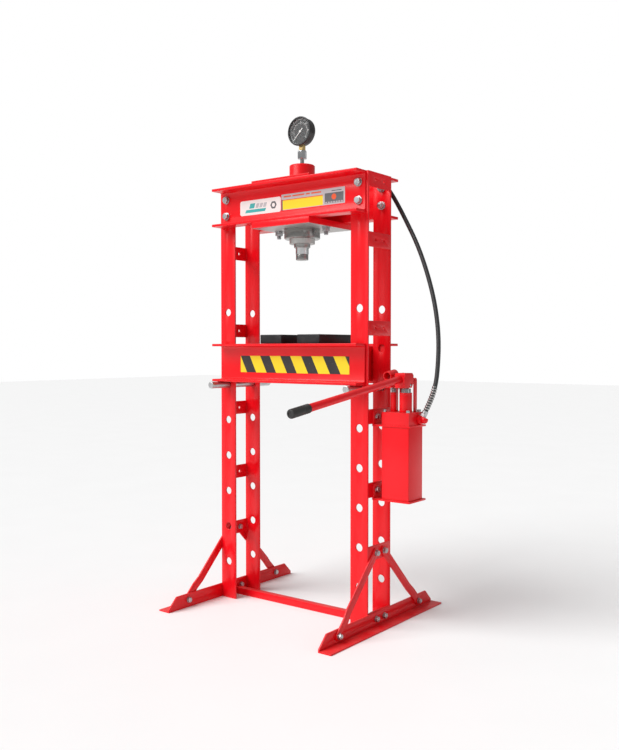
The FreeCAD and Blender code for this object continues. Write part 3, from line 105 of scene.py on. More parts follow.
# The hose's route from the pump to the cylinder, in metres.
HOSE_ROUTE = [
    (0.494, 0.036, 0.741), (0.511, 0.046, 0.784), (0.521, 0.057, 0.835), (0.522, 0.067, 0.895),
    (0.519, 0.077, 0.965), (0.508, 0.088, 1.036), (0.490, 0.098, 1.108), (0.465, 0.108, 1.180),
    (0.433, 0.119, 1.255), (0.398, 0.130, 1.322), (0.358, 0.141, 1.386), (0.322, 0.148, 1.444),
    (0.286, 0.151, 1.500), (0.246, 0.156, 1.547), (0.199, 0.154, 1.575), (0.148, 0.135, 1.578),
    (0.104, 0.104, 1.564), (0.070, 0.070, 1.564),
]
HOSE_WIDE = 0.015
HOSE_SIDES = 32

# The thickness of the channels' webs, which the stickers lie on, and of one printed layer.
WEB = 6 * MM
INK = 0.12 * MM

# The dial's scales begin at the lower left and run clockwise, in degrees.
DIAL_START, DIAL_SWEEP = -135, 270

# Nodes with a wide flat ring for a face, which stays in its triangles.
RINGS = ("gauge_bezel",)

# CAD nodes that get rounded edges: the edge's width in millimetres, the finish, the edge's steps, the nodes.
EASED = [
    (1.6, "red", 3, ["head_beam_front", "head_beam_rear", "bed_channel_front", "bed_channel_rear"]),
    (0.7, "red", 2, ["fulcrum_links", "handle", "upright_front_left", "upright_front_right",
                     "upright_rear_left", "upright_rear_right", "battens", "top_plate", "foot_left",
                     "foot_right", "braces", "crossbar", "bed_spacers", "tank_brackets"]),
    # The cylinder plate's downward faces show steel, which is a painted reflection on its red underside.
    (1.0, "red_plate", 2, ["cylinder_plate"]),
    (0.8, "red_cylinder", 2, ["cylinder_body"]),
    (2.2, "red", 3, ["oil_tank"]),
    (1.4, "red", 3, ["pump_body"]),
    (0.8, "red", 2, ["pump_elbow"]),
    (0.8, "red", 3, ["pump_barrels"]),
    (0.7, "turned", 3, ["ring_nut", "gland", "ram_nose"]),
    (0.4, "hard_chrome", 3, ["ram", "small_plunger", "large_plunger"]),
    (1.2, "pin", 3, ["bed_pin_left", "bed_pin_right"]),
    (0.9, "chrome", 3, ["gauge_coupling"]),
    (1.6, "red", 3, ["small_rocker", "large_rocker"]),
    (0.5, "black_steel", 2, ["press_plate_left", "press_plate_right"]),
    (0.5, "zinc", 2, ["pump_screws", "filler_plug"]),
    (0.6, "plastic", 3, ["gauge_case", "gauge_bezel", "release_knob"]),
]

# CAD nodes that keep their mesh and only get a finish.
FINISHED = {
    "turned": ["gauge_nipple"],
    "zinc": ["cylinder_port"],
    "brass": ["gauge_neck", "bourdon_tube"],
    "seal": ["ram_wiper", "piston_seal"],
    "ink_white": ["gauge_needle"],
    "lens": ["gauge_lens"],
}

# The studio's even light, and how bright its walls look to the camera.
ROOM_LIGHT = 0.34
ROOM_SEEN = 1.0


# ---- Small tools ----
def only(piece):
    """Makes the piece the one selected and active object."""
    bpy.ops.object.select_all(action="DESELECT")
    piece.select_set(True)
    bpy.context.view_layer.objects.active = piece
    return piece


def fresh():
    """Clears the selection, before a new primitive is added."""
    bpy.ops.object.select_all(action="DESELECT")


def added(name):
    """The primitive that was just added, under its name."""
    piece = bpy.context.active_object
    piece.name = name
    return piece


def linked(name, data):
    """A new object in the scene, with the given data."""
    made = bpy.data.objects.new(name, data)
    bpy.context.scene.collection.objects.link(made)
    return made


@contextmanager
def editing(piece):
    """Edit mode on one piece, which starts with all of it selected."""
    only(piece)
    bpy.ops.object.mode_set(mode="EDIT")
    bpy.ops.mesh.select_all(action="SELECT")
    yield
    bpy.ops.object.mode_set(mode="OBJECT")


def moved(x, y, z):
    """Extrudes what is selected by the given step."""
    bpy.ops.mesh.extrude_region_move(TRANSFORM_OT_translate={"value": (x, y, z)})


def settled(piece):
    """Puts the piece's place, turn and size into its mesh."""
    only(piece)
    bpy.ops.object.transform_apply(location=True, rotation=True, scale=True)
    return piece


def modified(piece, kind, **values):
    """Adds a modifier, sets it and applies it."""
    only(piece)
    step = piece.modifiers.new(kind, kind)
    for name, value in values.items():
        setattr(step, name, value)
    bpy.ops.object.modifier_apply(modifier=step.name)
    return piece


def smooth(piece, degrees=32):
    """Smooth shading, except over edges sharper than the angle."""
    only(piece)
    bpy.ops.object.shade_smooth_by_angle(angle=math.radians(degrees))
    return piece


def softened(piece, width, segments=2, degrees=35):
    """Rounds the piece's edges over."""
    modified(piece, "BEVEL", width=width, segments=segments, limit_method="ANGLE",
             angle_limit=math.radians(degrees), harden_normals=False)
    return smooth(piece)


def copied(piece, matrix):
    """A copy with a mesh of its own, put in its place."""
    twin = linked(piece.name, piece.data.copy())
    twin.data.transform(matrix)
    return twin


def joined(name, pieces):
    bpy.ops.object.select_all(action="DESELECT")
    for piece in pieces:
        piece.select_set(True)
    bpy.context.view_layer.objects.active = pieces[0]
    bpy.ops.object.join()
    return added(name)


def removed(*pieces):
    for piece in pieces:
        bpy.data.objects.remove(piece)


def along(point, way):
    """Takes +Z at the origin to the given way at the given point."""
    turn = Vector(way).to_track_quat("Z", "Y").to_matrix().to_4x4()
    return Matrix.Translation(Vector(point)) @ turn


def corners_of(points):
    """The lowest and the highest corner of a set of points."""
    return (Vector([min(p[k] for p in points) for k in range(3)]),
            Vector([max(p[k] for p in points) for k in range(3)]))


def lathed(name, outline, matrix):
    """A closed outline of (radius, height) points, drawn point by point and spun once round."""
    fresh()
    bpy.ops.mesh.primitive_plane_add(size=0.1 * MM, location=(outline[0][0], 0, outline[0][1]))
    piece = settled(added(name))
    with editing(piece):
        bpy.ops.mesh.merge(type="CENTER")
        for (r0, h0), (r1, h1) in zip(outline, outline[1:]):
            moved(r1 - r0, 0, h1 - h0)
        bpy.ops.mesh.select_all(action="SELECT")
        bpy.ops.mesh.spin(steps=72, angle=2 * math.pi, center=(0, 0, 0), axis=(0, 0, 1))
        bpy.ops.mesh.select_all(action="SELECT")
        bpy.ops.mesh.remove_doubles(threshold=0.01 * MM)
        bpy.ops.mesh.normals_make_consistent(inside=False)
    piece.data.transform(matrix)
    return smooth(piece, 40)


def dressed(piece, finish):
    """The piece with one finish all over."""
    piece.data.materials.clear()
    piece.data.materials.append(finish)
    return piece


def placed(piece, body, slot, *replaced):
    """The piece rides on a body and stands for the CAD nodes it replaces; its slot is not used."""
    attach(piece, body)
    if replaced:
        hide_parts(*replaced)
    return piece


def slot_of(node):
    return {part["node"]: part["material_slot"] for part in frame["record"]["subparts"]}[node]


def joint_of(name):
    return next(joint for joint in frame["joints"] if joint["name"] == name)


def merged_copy(node):
    """A copy of a CAD node with its loose triangles welded, and its flat faces made whole."""
    piece = linked(node + "_made", NODES[node].data.copy())
    with editing(piece):
        bpy.ops.mesh.remove_doubles(threshold=0.002 * MM)
        if node not in RINGS:
            bpy.ops.mesh.dissolve_limited(angle_limit=math.radians(0.5))
    return piece


def eased(node, width, finish, segments):
    """A CAD node with its edges rounded over, as sawn, rolled or cast metal has them."""
    piece = dressed(softened(merged_copy(node), width * MM, segments), finish)
    return placed(piece, NODES[node]["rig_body"], slot_of(node), node)


def islands(node):
    """The separate solids of a node, as lists of points."""
    mesh = bmesh.new()
    mesh.from_mesh(NODES[node].data)
    bmesh.ops.remove_doubles(mesh, verts=mesh.verts, dist=0.002 * MM)
    seen, groups = set(), []
    for start in mesh.verts:
        if start in seen:
            continue
        seen.add(start)
        stack, points = [start], []
        while stack:
            vertex = stack.pop()
            points.append(vertex.co.copy())
            for edge in vertex.link_edges:
                other = edge.other_vert(vertex)
                if other not in seen:
                    seen.add(other)
                    stack.append(other)
        groups.append(points)
    mesh.free()
    return groups


# ---- Camera ----
def make_camera():
    camera = linked("Camera", bpy.data.cameras.new("Camera"))
    camera.location = CAMERA_PLACE
    camera.rotation_euler = Euler((math.radians(90 - CAMERA_DOWN), 0, math.radians(CAMERA_LEFT)))
    camera.data.lens = LENS
    camera.data.sensor_width = SENSOR
    camera.data.clip_end = 100
    bpy.context.scene.camera = camera


# ---- Materials ----
class Tree:
    """Short ways to lay out and link shader nodes."""

    def __init__(self, tree):
        self.tree = tree

    def node(self, kind, **values):
        made = self.tree.nodes.new(kind)
        for name, value in values.items():
            setattr(made, name, value)
        return made

    def put(self, value, socket):
        """Links a socket to an input, or sets a plain value on it."""
        if isinstance(value, bpy.types.NodeSocket):
            self.tree.links.new(value, socket)
        else:
            socket.default_value = value

    def coords(self):
        return self.node("ShaderNodeTexCoord").outputs["Object"]

    def normal(self):
        return self.node("ShaderNodeNewGeometry").outputs["Normal"]

    def part(self, vector, axis):
        """One number out of a vector: 0, 1 or 2."""
        parts = self.node("ShaderNodeSeparateXYZ")
        self.put(vector, parts.inputs[0])
        return parts.outputs[axis]

    def noise(self, scale, detail=3.0, rough=0.5, where=None, stretch=None):
        where = where if where is not None else self.coords()
        if stretch:
            mapping = self.node("ShaderNodeMapping")
            self.put(where, mapping.inputs["Vector"])
            mapping.inputs["Scale"].default_value = stretch
            where = mapping.outputs["Vector"]
        made = self.node("ShaderNodeTexNoise")
        self.put(where, made.inputs["Vector"])
        self.put(scale, made.inputs["Scale"])
        made.inputs["Detail"].default_value = detail
        made.inputs["Roughness"].default_value = rough
        return made.outputs["Fac"]

    def math(self, operation, first, second=0.0, clamp=False):
        made = self.node("ShaderNodeMath", operation=operation, use_clamp=clamp)
        self.put(first, made.inputs[0])
        self.put(second, made.inputs[1])
        return made.outputs[0]

    def times(self, first, second, clamp=False):
        return self.math("MULTIPLY", first, second, clamp)

    def plus(self, first, second):
        return self.math("ADD", first, second)

    def remap(self, value, low, high, to_low=0.0, to_high=1.0):
        made = self.node("ShaderNodeMapRange")
        for socket, number in zip(made.inputs[:5], (value, low, high, to_low, to_high)):
            self.put(number, socket)
        return made.outputs[0]

    def mix(self, amount, first, second):
        """A colour between two others."""
        made = self.node("ShaderNodeMix", data_type="RGBA")
        self.put(amount, made.inputs[0])
        self.put(colour(first), made.inputs[6])
        self.put(colour(second), made.inputs[7])
        return made.outputs[2]

    def bump(self, height, distance, strength=1.0, normal=None):
        made = self.node("ShaderNodeBump")
        self.put(height, made.inputs["Height"])
        self.put(distance, made.inputs["Distance"])
        self.put(strength, made.inputs["Strength"])
        if normal is not None:
            self.put(normal, made.inputs["Normal"])
        return made.outputs["Normal"]

    def use(self, group, **values):
        """Places a node group with its own values, and hands over its outputs."""
        made = self.node("ShaderNodeGroup")
        made.node_tree = group.tree
        for name, value in values.items():
            self.put(value, made.inputs[name])
        return made.outputs


def colour(value):
    """A colour as a socket or as four numbers."""
    return value if isinstance(value, bpy.types.NodeSocket) else (*value, 1.0)


def new_group(name, inputs, **outputs):
    """A shader node group: its inputs are numbers to set, its outputs floats or vectors."""
    group = bpy.data.node_groups.new(name, "ShaderNodeTree")
    for label, number in inputs.items():
        socket = group.interface.new_socket(label, in_out="INPUT", socket_type="NodeSocketFloat")
        socket.default_value = number
    for label, kind in outputs.items():
        group.interface.new_socket(label, in_out="OUTPUT", socket_type="NodeSocket" + kind)
    tree = Tree(group)
    tree.inside = tree.node("NodeGroupInput")
    tree.outside = tree.node("NodeGroupOutput")
    return tree


def wear_group():
    """Edges and corners rubbed thin, broken up by noise."""
    t = new_group("Edge wear", {"Width": 1 * MM, "Amount": 0.5}, Mask="Float")
    bevel = t.node("ShaderNodeBevel", samples=4)
    t.put(t.inside.outputs["Width"], bevel.inputs["Radius"])
    dot = t.node("ShaderNodeVectorMath", operation="DOT_PRODUCT")
    t.put(bevel.outputs["Normal"], dot.inputs[0])
    t.put(t.normal(), dot.inputs[1])
    # the cosines of the turn from the face to its rounded edge where wear starts and where it is full
    edge = t.remap(dot.outputs["Value"], 0.995, 0.90)
    broken = t.remap(t.noise(85, 4, 0.65), 0.45, 0.72)
    t.put(t.times(t.times(edge, broken), t.inside.outputs["Amount"], True), t.outside.inputs["Mask"])
    return t


def mottle_group():
    """Slow cloudy change and fine specks, each from zero to one."""
    t = new_group("Mottle", {"Scale": 4.0}, Cloud="Float", Speck="Float")
    scale = t.inside.outputs["Scale"]
    t.put(t.remap(t.noise(scale, 4, 0.6), 0.3, 0.7), t.outside.inputs["Cloud"])
    fine = t.noise(t.times(scale, 60.0), 2, 0.7)
    t.put(t.remap(fine, 0.62, 0.74), t.outside.inputs["Speck"])
    return t


def dust_group():
    """Light dust that settles on faces that look upwards."""
    t = new_group("Dust", {"Amount": 0.3}, Mask="Float")
    upward = t.remap(t.part(t.normal(), 2), 0.6, 1.0)
    patchy = t.remap(t.noise(14, 5, 0.6), 0.35, 0.75)
    t.put(t.times(t.times(upward, patchy), t.inside.outputs["Amount"], True), t.outside.inputs["Mask"])
    return t


def peel_group():
    """The fine waviness of sprayed enamel, with the steel's own slow waves under it."""
    t = new_group("Orange peel", {"Strength": 0.5}, Normal="Vector")
    strength = t.inside.outputs["Strength"]
    wavy = t.bump(t.noise(18, 2), 0.8 * MM, strength)
    t.put(t.bump(t.noise(420, 2), 0.1 * MM, strength, wavy), t.outside.inputs["Normal"])
    return t


def turned_group():
    """Fine rings round an upright axis, left by a lathe."""
    t = new_group("Lathe rings", {"Pitch": 2200.0}, Ring="Float", Normal="Vector")
    place = t.coords()
    x, y, z = (t.part(place, axis) for axis in range(3))
    radius = t.math("POWER", t.plus(t.times(x, x), t.times(y, y)), 0.5)
    where = t.node("ShaderNodeCombineXYZ")
    t.put(t.plus(radius, z), where.inputs[2])
    ring = t.noise(t.inside.outputs["Pitch"], 2, 0.6, where.outputs[0])
    t.put(ring, t.outside.inputs["Ring"])
    t.put(t.bump(ring, 0.04 * MM, 0.6), t.outside.inputs["Normal"])
    return t


def start_material(name):
    material = bpy.data.materials.new(name)
    material.use_nodes = True
    tree = Tree(material.node_tree)
    tree.shader = material.node_tree.nodes["Principled BSDF"]
    tree.material = material
    return tree


def set_shader(t, base, rough, metal=None, normal=None, **plain):
    """Feeds the shader what changes over the surface, and sets plain numbers on its own sockets."""
    for value, name in ((colour(base), "Base Color"), (rough, "Roughness"), (metal, "Metallic"),
                        (normal, "Normal")):
        if value is not None:
            t.put(value, t.shader.inputs[name])
    for name, value in plain.items():
        t.shader.inputs[name.replace("_", " ")].default_value = value
    return t.material


def enamel(name, groups, steel_and_reflection_where=None):
    """Glossy sprayed red enamel: slow colour change, dust on ledges, thin wear at edges, orange peel.
    steel_and_reflection_where, if given, makes a mask of faces shown as steel: unpainted steel on the masked
    cylinder, and a painted reflection on the cylinder plate's red underside."""
    red, deep = (0.84, 0.003, 0.010), (0.72, 0.002, 0.007)
    speck, powder = (0.20, 0.01, 0.01), (0.62, 0.42, 0.38)
    dark_steel, light_steel = (0.34, 0.33, 0.32), (0.55, 0.54, 0.52)
    t = start_material(name)
    mottle = t.use(groups["mottle"], Scale=3.0)
    paint = t.mix(mottle["Cloud"], red, deep)
    paint = t.mix(t.times(mottle["Speck"], 0.10), paint, speck)
    dust = t.use(groups["dust"], Amount=0.16)["Mask"]
    paint = t.mix(dust, paint, powder)
    wear = t.use(groups["wear"], Width=1.2 * MM, Amount=0.55)["Mask"]
    steel = t.mix(t.noise(220, 3), dark_steel, light_steel)
    # Where this mask is full the paint turns to steel: real wear and masking on the cylinder, and a painted
    # reflection under the cylinder plate.
    steel_and_reflection = wear if steel_and_reflection_where is None else t.math("MAXIMUM", wear, steel_and_reflection_where(t))
    rough = t.plus(t.remap(mottle["Cloud"], 0, 1, 0.27, 0.38), t.times(dust, 0.5))
    return set_shader(t, t.mix(steel_and_reflection, paint, steel), t.plus(rough, t.times(steel_and_reflection, 0.12)), t.times(steel_and_reflection, 0.9),
                      t.use(groups["peel"], Strength=0.55)["Normal"],
                      Specular_IOR_Level=0.30, Coat_Weight=0.06, Coat_Roughness=0.12)


def below(level):
    """A mask of what lies under a height: the part of the cylinder that was masked from the spray."""
    def mask(t):
        ragged = t.plus(t.part(t.coords(), 2), t.times(t.noise(60, 3), 3 * MM))
        return t.math("LESS_THAN", ragged, level)
    return mask


def underside_painted_reflection(t):
    """A mask of faces that look straight down: the steel there is a painted reflection on the cylinder
    plate's red underside.
    """
    return t.math("LESS_THAN", t.part(t.normal(), 2), -0.7)


def plated(name, base, tint, groups, rough=(0.24, 0.42)):
    """Zinc, chrome, brass or spring steel: slightly clouded, with dull spots and rubbed edges."""
    dull, rubbed = (0.24, 0.22, 0.20), (0.86, 0.85, 0.83)
    t = start_material(name)
    mottle = t.use(groups["mottle"], Scale=26.0)
    face = t.mix(mottle["Cloud"], base, tint)
    spots = t.remap(t.noise(310, 3, 0.7), 0.60, 0.78)
    face = t.mix(t.times(spots, 0.35), face, dull)
    edge = t.use(groups["wear"], Width=0.6 * MM, Amount=0.25)["Mask"]
    return set_shader(t, t.mix(edge, face, rubbed), t.remap(mottle["Cloud"], 0, 1, *rough), 1.0,
                      t.bump(t.noise(900, 2), 0.03 * MM, 0.5))


def turned_steel(name, base, tint, groups, rough=(0.18, 0.36)):
    """Bare steel off the lathe: rings, oil staining and small dull patches."""
    oily = (0.21, 0.185, 0.15)
    t = start_material(name)
    rings = t.use(groups["turned"], Pitch=2200.0)
    mottle = t.use(groups["mottle"], Scale=22.0)
    face = t.mix(rings["Ring"], base, tint)
    face = t.mix(t.times(mottle["Cloud"], 0.35), face, oily)
    return set_shader(t, face, t.remap(rings["Ring"], 0.3, 0.7, *rough), 1.0, rings["Normal"])


def blackened(name, groups):
    """Black-oxide plate steel: faces rubbed grey at the edges, with faint mill marks and dust."""
    black, worn_black, milled = (0.012, 0.012, 0.014), (0.035, 0.034, 0.036), (0.07, 0.068, 0.066)
    rubbed, powder = (0.40, 0.39, 0.37), (0.4, 0.38, 0.35)
    t = start_material(name)
    mottle = t.use(groups["mottle"], Scale=9.0)
    face = t.mix(mottle["Cloud"], black, worn_black)
    mill = t.noise(30, 3, 0.6, stretch=(1, 34, 1))
    face = t.mix(t.remap(mill, 0.5, 0.75, 0, 0.35), face, milled)
    edge = t.use(groups["wear"], Width=2.2 * MM, Amount=0.9)["Mask"]
    face = t.mix(edge, face, rubbed)
    dust = t.use(groups["dust"], Amount=0.10)["Mask"]
    return set_shader(t, t.mix(dust, face, powder), t.remap(mill, 0.35, 0.7, 0.34, 0.52),
                      t.plus(0.55, t.times(edge, 0.4)), t.bump(mill, 0.05 * MM, 0.7))


def moulded(name, base, tint, groups, rough=(0.34, 0.48), grain=900.0, depth=0.05 * MM):
    """Moulded plastic or rubber with a fine grain and scuffed corners."""
    speck, scuffed = (0.16, 0.15, 0.14), (0.20, 0.20, 0.20)
    t = start_material(name)
    mottle = t.use(groups["mottle"], Scale=12.0)
    grained = t.noise(grain, 2, 0.6)
    face = t.mix(mottle["Cloud"], base, tint)
    face = t.mix(t.times(mottle["Speck"], 0.25), face, speck)
    edge = t.use(groups["wear"], Width=0.8 * MM, Amount=0.15)["Mask"]
    return set_shader(t, t.mix(edge, face, scuffed), t.remap(mottle["Cloud"], 0, 1, *rough), 0.0,
                      t.bump(grained, depth, 0.8))


def wrapped_rubber(name, groups):
    """Hose cover: cloth-wrapped rubber, with the weave's fine cross pattern along the hose."""
    dark, light, worn = (0.010, 0.010, 0.011), (0.028, 0.028, 0.030), (0.10, 0.095, 0.09)
    per_metre, per_turn = 2800.0, 75.4
    t = start_material(name)
    place = t.node("ShaderNodeUVMap", uv_map="Along").outputs["UV"]
    length, around = t.times(t.part(place, 0), per_metre), t.times(t.part(place, 1), per_turn)
    weave = t.math("MAXIMUM", t.math("SINE", t.plus(length, around)),
                   t.math("SINE", t.math("SUBTRACT", length, around)))
    mottle = t.use(groups["mottle"], Scale=9.0)
    face = t.mix(t.remap(weave, -0.5, 1.0), dark, light)
    face = t.mix(t.times(mottle["Speck"], 0.3), face, worn)
    return set_shader(t, face, t.remap(mottle["Cloud"], 0, 1, 0.36, 0.50), 0.0,
                      t.bump(weave, 0.12 * MM, 0.7))


def printed(name, base, tint, groups, rough=0.32):
    """Printed vinyl or a printed dial: even ink with slight fading and hairline scratches."""
    scratched = (0.55, 0.55, 0.54)
    t = start_material(name)
    mottle = t.use(groups["mottle"], Scale=8.0)
    scratch = t.remap(t.noise(70, 2, 0.5, stretch=(1, 1, 14)), 0.70, 0.76, 0, 0.25)
    face = t.mix(mottle["Cloud"], base, tint)
    return set_shader(t, t.mix(scratch, face, scratched),
                      t.remap(mottle["Cloud"], 0, 1, rough, rough + 0.1), 0.0,
                      t.bump(t.noise(130, 2), 0.08 * MM, 0.4))


def lens_glass(name):
    t = start_material(name)
    smear = t.remap(t.noise(35, 4, 0.6), 0.35, 0.8, 0.02, 0.07)
    return set_shader(t, (0.60, 0.62, 0.62), smear, Alpha=0.045)


def studio_floor(name):
    t = start_material(name)
    return set_shader(t, t.mix(t.noise(3, 3), (0.90, 0.90, 0.90), (0.93, 0.93, 0.93)), 0.6)


def make_finishes():
    groups = {"wear": wear_group(), "mottle": mottle_group(), "dust": dust_group(), "peel": peel_group(),
              "turned": turned_group()}
    masked_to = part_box("cylinder_plate")[0].z + 2 * MM
    chrome, dull_chrome = (0.62, 0.63, 0.64), (0.42, 0.43, 0.44)
    return {
        "red": enamel("Red enamel", groups),
        "red_cylinder": enamel("Red enamel over a masked cylinder", groups, below(masked_to)),
        # The cylinder plate's downward faces are drawn as steel, which is a painted reflection on its red
        # underside.
        "red_plate": enamel("Red enamel with a bare underside", groups, underside_painted_reflection),
        "zinc": plated("Zinc plate", (0.56, 0.57, 0.58), (0.42, 0.42, 0.43), groups),
        "pin": plated("Zinc plated pin", (0.60, 0.60, 0.60), (0.46, 0.46, 0.47), groups, (0.30, 0.46)),
        "chrome": plated("Chrome plate", chrome, (0.50, 0.51, 0.52), groups, (0.10, 0.20)),
        "brass": plated("Brass", (0.83, 0.60, 0.26), (0.70, 0.49, 0.20), groups, (0.20, 0.34)),
        "turned": turned_steel("Turned steel", (0.46, 0.46, 0.45), (0.27, 0.27, 0.27), groups),
        "hard_chrome": turned_steel("Hard-chromed rod", chrome, dull_chrome, groups, (0.10, 0.22)),
        "spring": plated("Spring wire", (0.50, 0.50, 0.50), (0.36, 0.35, 0.34), groups, (0.26, 0.42)),
        "black_steel": blackened("Black-oxide steel", groups),
        "plastic": moulded("Black plastic", (0.012, 0.012, 0.013), (0.022, 0.022, 0.023), groups,
                           (0.22, 0.34)),
        "grip": moulded("Grip rubber", (0.014, 0.014, 0.014), (0.030, 0.029, 0.028), groups, (0.50, 0.66),
                        500.0, 0.15 * MM),
        "seal": moulded("Seal rubber", (0.02, 0.02, 0.022), (0.035, 0.035, 0.036), groups),
        "hose": wrapped_rubber("Wrapped hose rubber", groups),
        "dial": printed("Dial black", (0.010, 0.010, 0.011), (0.016, 0.016, 0.017), groups, 0.45),
        "ink_white": printed("White ink", (0.86, 0.86, 0.84), (0.80, 0.80, 0.78), groups),
        "ink_silver": printed("Silver ink", (0.52, 0.54, 0.56), (0.46, 0.48, 0.50), groups),
        "ink_yellow": printed("Yellow ink", (0.90, 0.74, 0.012), (0.84, 0.68, 0.010), groups),
        "ink_black": printed("Black ink", (0.020, 0.020, 0.021), (0.032, 0.031, 0.031), groups),
        "ink_teal": printed("Teal ink", (0.03, 0.36, 0.36), (0.04, 0.42, 0.41), groups),
        "ink_grey": printed("Grey ink", (0.10, 0.11, 0.12), (0.13, 0.14, 0.15), groups),
        "ink_orange": printed("Orange ink", (0.80, 0.11, 0.02), (0.74, 0.09, 0.02), groups),
        "lens": lens_glass("Gauge lens"),
    }


# ---- Hose and its guard ----
def line_points(control_points):
    """Points along the smooth curve that has the given control points."""
    data = bpy.data.curves.new("hose_line", "CURVE")
    data.dimensions = "3D"
    spline = data.splines.new("NURBS")
    spline.points.add(len(control_points) - 1)
    for knot, point in zip(spline.points, control_points):
        knot.co = (*point, 1.0)
    spline.order_u = 3
    spline.use_endpoint_u = True
    spline.resolution_u = 12
    line = linked("hose_line", data)
    bpy.context.view_layer.update()
    mesh = bpy.data.meshes.new_from_object(line.evaluated_get(bpy.context.evaluated_depsgraph_get()))
    points = [vertex.co.copy() for vertex in mesh.vertices]
    bpy.data.meshes.remove(mesh)
    removed(line)
    return points


def distances(points):
    """How far along a line each of its points lies."""
    travelled = [0.0]
    for one, two in zip(points, points[1:]):
        travelled.append(travelled[-1] + (two - one).length)
    return travelled


def swept(name, rings, travelled=None):
    """A closed skin over rings of points, with a cap at both ends. travelled, if given, is how far along
    each ring lies, and makes a map that runs along the skin, in metres, and once round it."""
    mesh = bmesh.new()
    made = [[mesh.verts.new(point) for point in ring] for ring in rings]
    sides = len(rings[0])
    layer = mesh.loops.layers.uv.new("Along") if travelled else None
    for index, (lower, upper) in enumerate(zip(made, made[1:])):
        for k in range(sides):
            face = mesh.faces.new((lower[k], lower[(k + 1) % sides], upper[(k + 1) % sides], upper[k]))
            if travelled:
                for loop, (u, v) in zip(face.loops, ((0, 0), (0, 1), (1, 1), (1, 0))):
                    loop[layer].uv = (travelled[index + u], (k + v) / sides)
    mesh.faces.new(list(reversed(made[0])))
    mesh.faces.new(made[-1])
    bmesh.ops.recalc_face_normals(mesh, faces=mesh.faces)
    data = bpy.data.meshes.new(name)
    mesh.to_mesh(data)
    mesh.free()
    return linked(name, data)


def coil_round(name, points, start, stop, radius, high, wide, pitch):
    """A flat wire wound round a line between two distances along it."""
    marks = list(zip(distances(points), points))

    def at(distance):
        for (low, one), (far, two) in zip(marks, marks[1:]):
            if distance <= far:
                return one.lerp(two, (distance - low) / (far - low)), (two - one).normalized()
        return marks[-1][1], (marks[-1][1] - marks[-2][1]).normalized()

    steps = 24
    count = int((stop - start) / pitch * steps)
    edge = 0.3 * high
    outline = [(-edge, -wide), (edge, -wide), (high, edge - wide), (high, wide - edge),
               (edge, wide), (-edge, wide), (-high, wide - edge), (-high, edge - wide)]
    side, rings = Vector((0, 1, 0)), []
    for index in range(count + 1):
        middle, way = at(start + (stop - start) * index / count)
        side = (side - way * side.dot(way)).normalized()
        angle = 2 * math.pi * index / steps
        out = side * math.cos(angle) + way.cross(side) * math.sin(angle)
        rings.append([middle + out * (radius + u / 2) + way * v / 2 for u, v in outline])
    return smooth(swept(name, rings), 40)


def hose_tube(points):
    """The hose as a mesh tube round its line."""
    side, rings = Vector((0, 1, 0)), []
    for index, point in enumerate(points):
        way = (points[min(index + 1, len(points) - 1)] - points[max(index - 1, 0)]).normalized()
        side = (side - way * side.dot(way)).normalized()
        up = way.cross(side)
        rings.append([point + (side * math.cos(a) + up * math.sin(a)) * HOSE_WIDE / 2
                      for a in (2 * math.pi * k / HOSE_SIDES for k in range(HOSE_SIDES))])
    return smooth(swept("hydraulic_hose", rings, distances(points)), 60)


def make_hose(f):
    """The hose, and the guard of flat wire round its lower end."""
    points = line_points(HOSE_ROUTE)
    tube = dressed(hose_tube(points), f["hose"])
    placed(tube, "frame", "rubber", "hose")
    guard = coil_round("hose_guard_coil", points, start=3 * MM, stop=86 * MM,
                       radius=HOSE_WIDE / 2 + 1.2 * MM, high=1.9 * MM, wide=4.6 * MM, pitch=8.6 * MM)
    dressed(guard, f["spring"])
    placed(guard, "frame", "steel", "hose_spring_guard")
    dressed(NODES["hose_fittings"], f["zinc"])
    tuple(HOSE_ROUTE[0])


# ---- Bolts ----
def hexagon_blank(name, flats, high, both_ends):
    """A hexagon with its corners turned down at one end or both, by a cone that runs a little past it."""
    corner = flats / 2 / math.cos(math.radians(30))
    fresh()
    bpy.ops.mesh.primitive_cylinder_add(vertices=6, radius=corner, depth=high, location=(0, 0, high / 2))
    blank = settled(added(name))
    rim, outer = 0.475 * flats, 1.02 * corner
    fall = 1.15 * (corner - rim) * math.tan(math.radians(30))
    fresh()
    bpy.ops.mesh.primitive_cone_add(vertices=48, radius1=outer, radius2=rim, depth=fall,
                                    location=(0, 0, high - fall / 2))
    turning = settled(added("turning"))
    with editing(turning):
        bpy.ops.mesh.select_all(action="DESELECT")
    for face in turning.data.polygons:
        face.select = face.normal.z < -0.9
    bpy.ops.object.mode_set(mode="EDIT")
    if both_ends:
        moved(0, 0, 2 * fall - high)
        moved(0, 0, -fall)
        bpy.ops.transform.resize(value=(rim / outer, rim / outer, 1))
    else:
        moved(0, 0, fall - high - 1 * MM)
    bpy.ops.object.mode_set(mode="OBJECT")
    modified(blank, "BOOLEAN", object=turning, operation="INTERSECT", solver="EXACT")
    removed(turning)
    return softened(blank, 0.25 * MM, 2, 20)


def thread(name, radius, pitch, length):
    """A cut thread round a chamfered core, from z = 0 up."""
    turns = max(1, int(length / pitch) - 1)
    depth = 0.55 * pitch
    root = radius - depth
    profile = bpy.data.meshes.new(name)
    outline = [(root, 0, 0), (radius, 0, 0.45 * pitch), (radius, 0, 0.55 * pitch), (root, 0, pitch)]
    profile.from_pydata(outline, [(0, 1), (1, 2), (2, 3)], [])
    ridge = linked(name, profile)
    modified(ridge, "SCREW", screw_offset=pitch, iterations=turns, steps=24, render_steps=24,
             use_merge_vertices=True, use_normal_flip=True)
    fresh()
    bpy.ops.mesh.primitive_cylinder_add(vertices=24, radius=radius - 0.8 * depth, depth=length,
                                        location=(0, 0, length / 2))
    core = softened(settled(added("core")), 0.35 * pitch)
    return joined(name, [ridge, core])


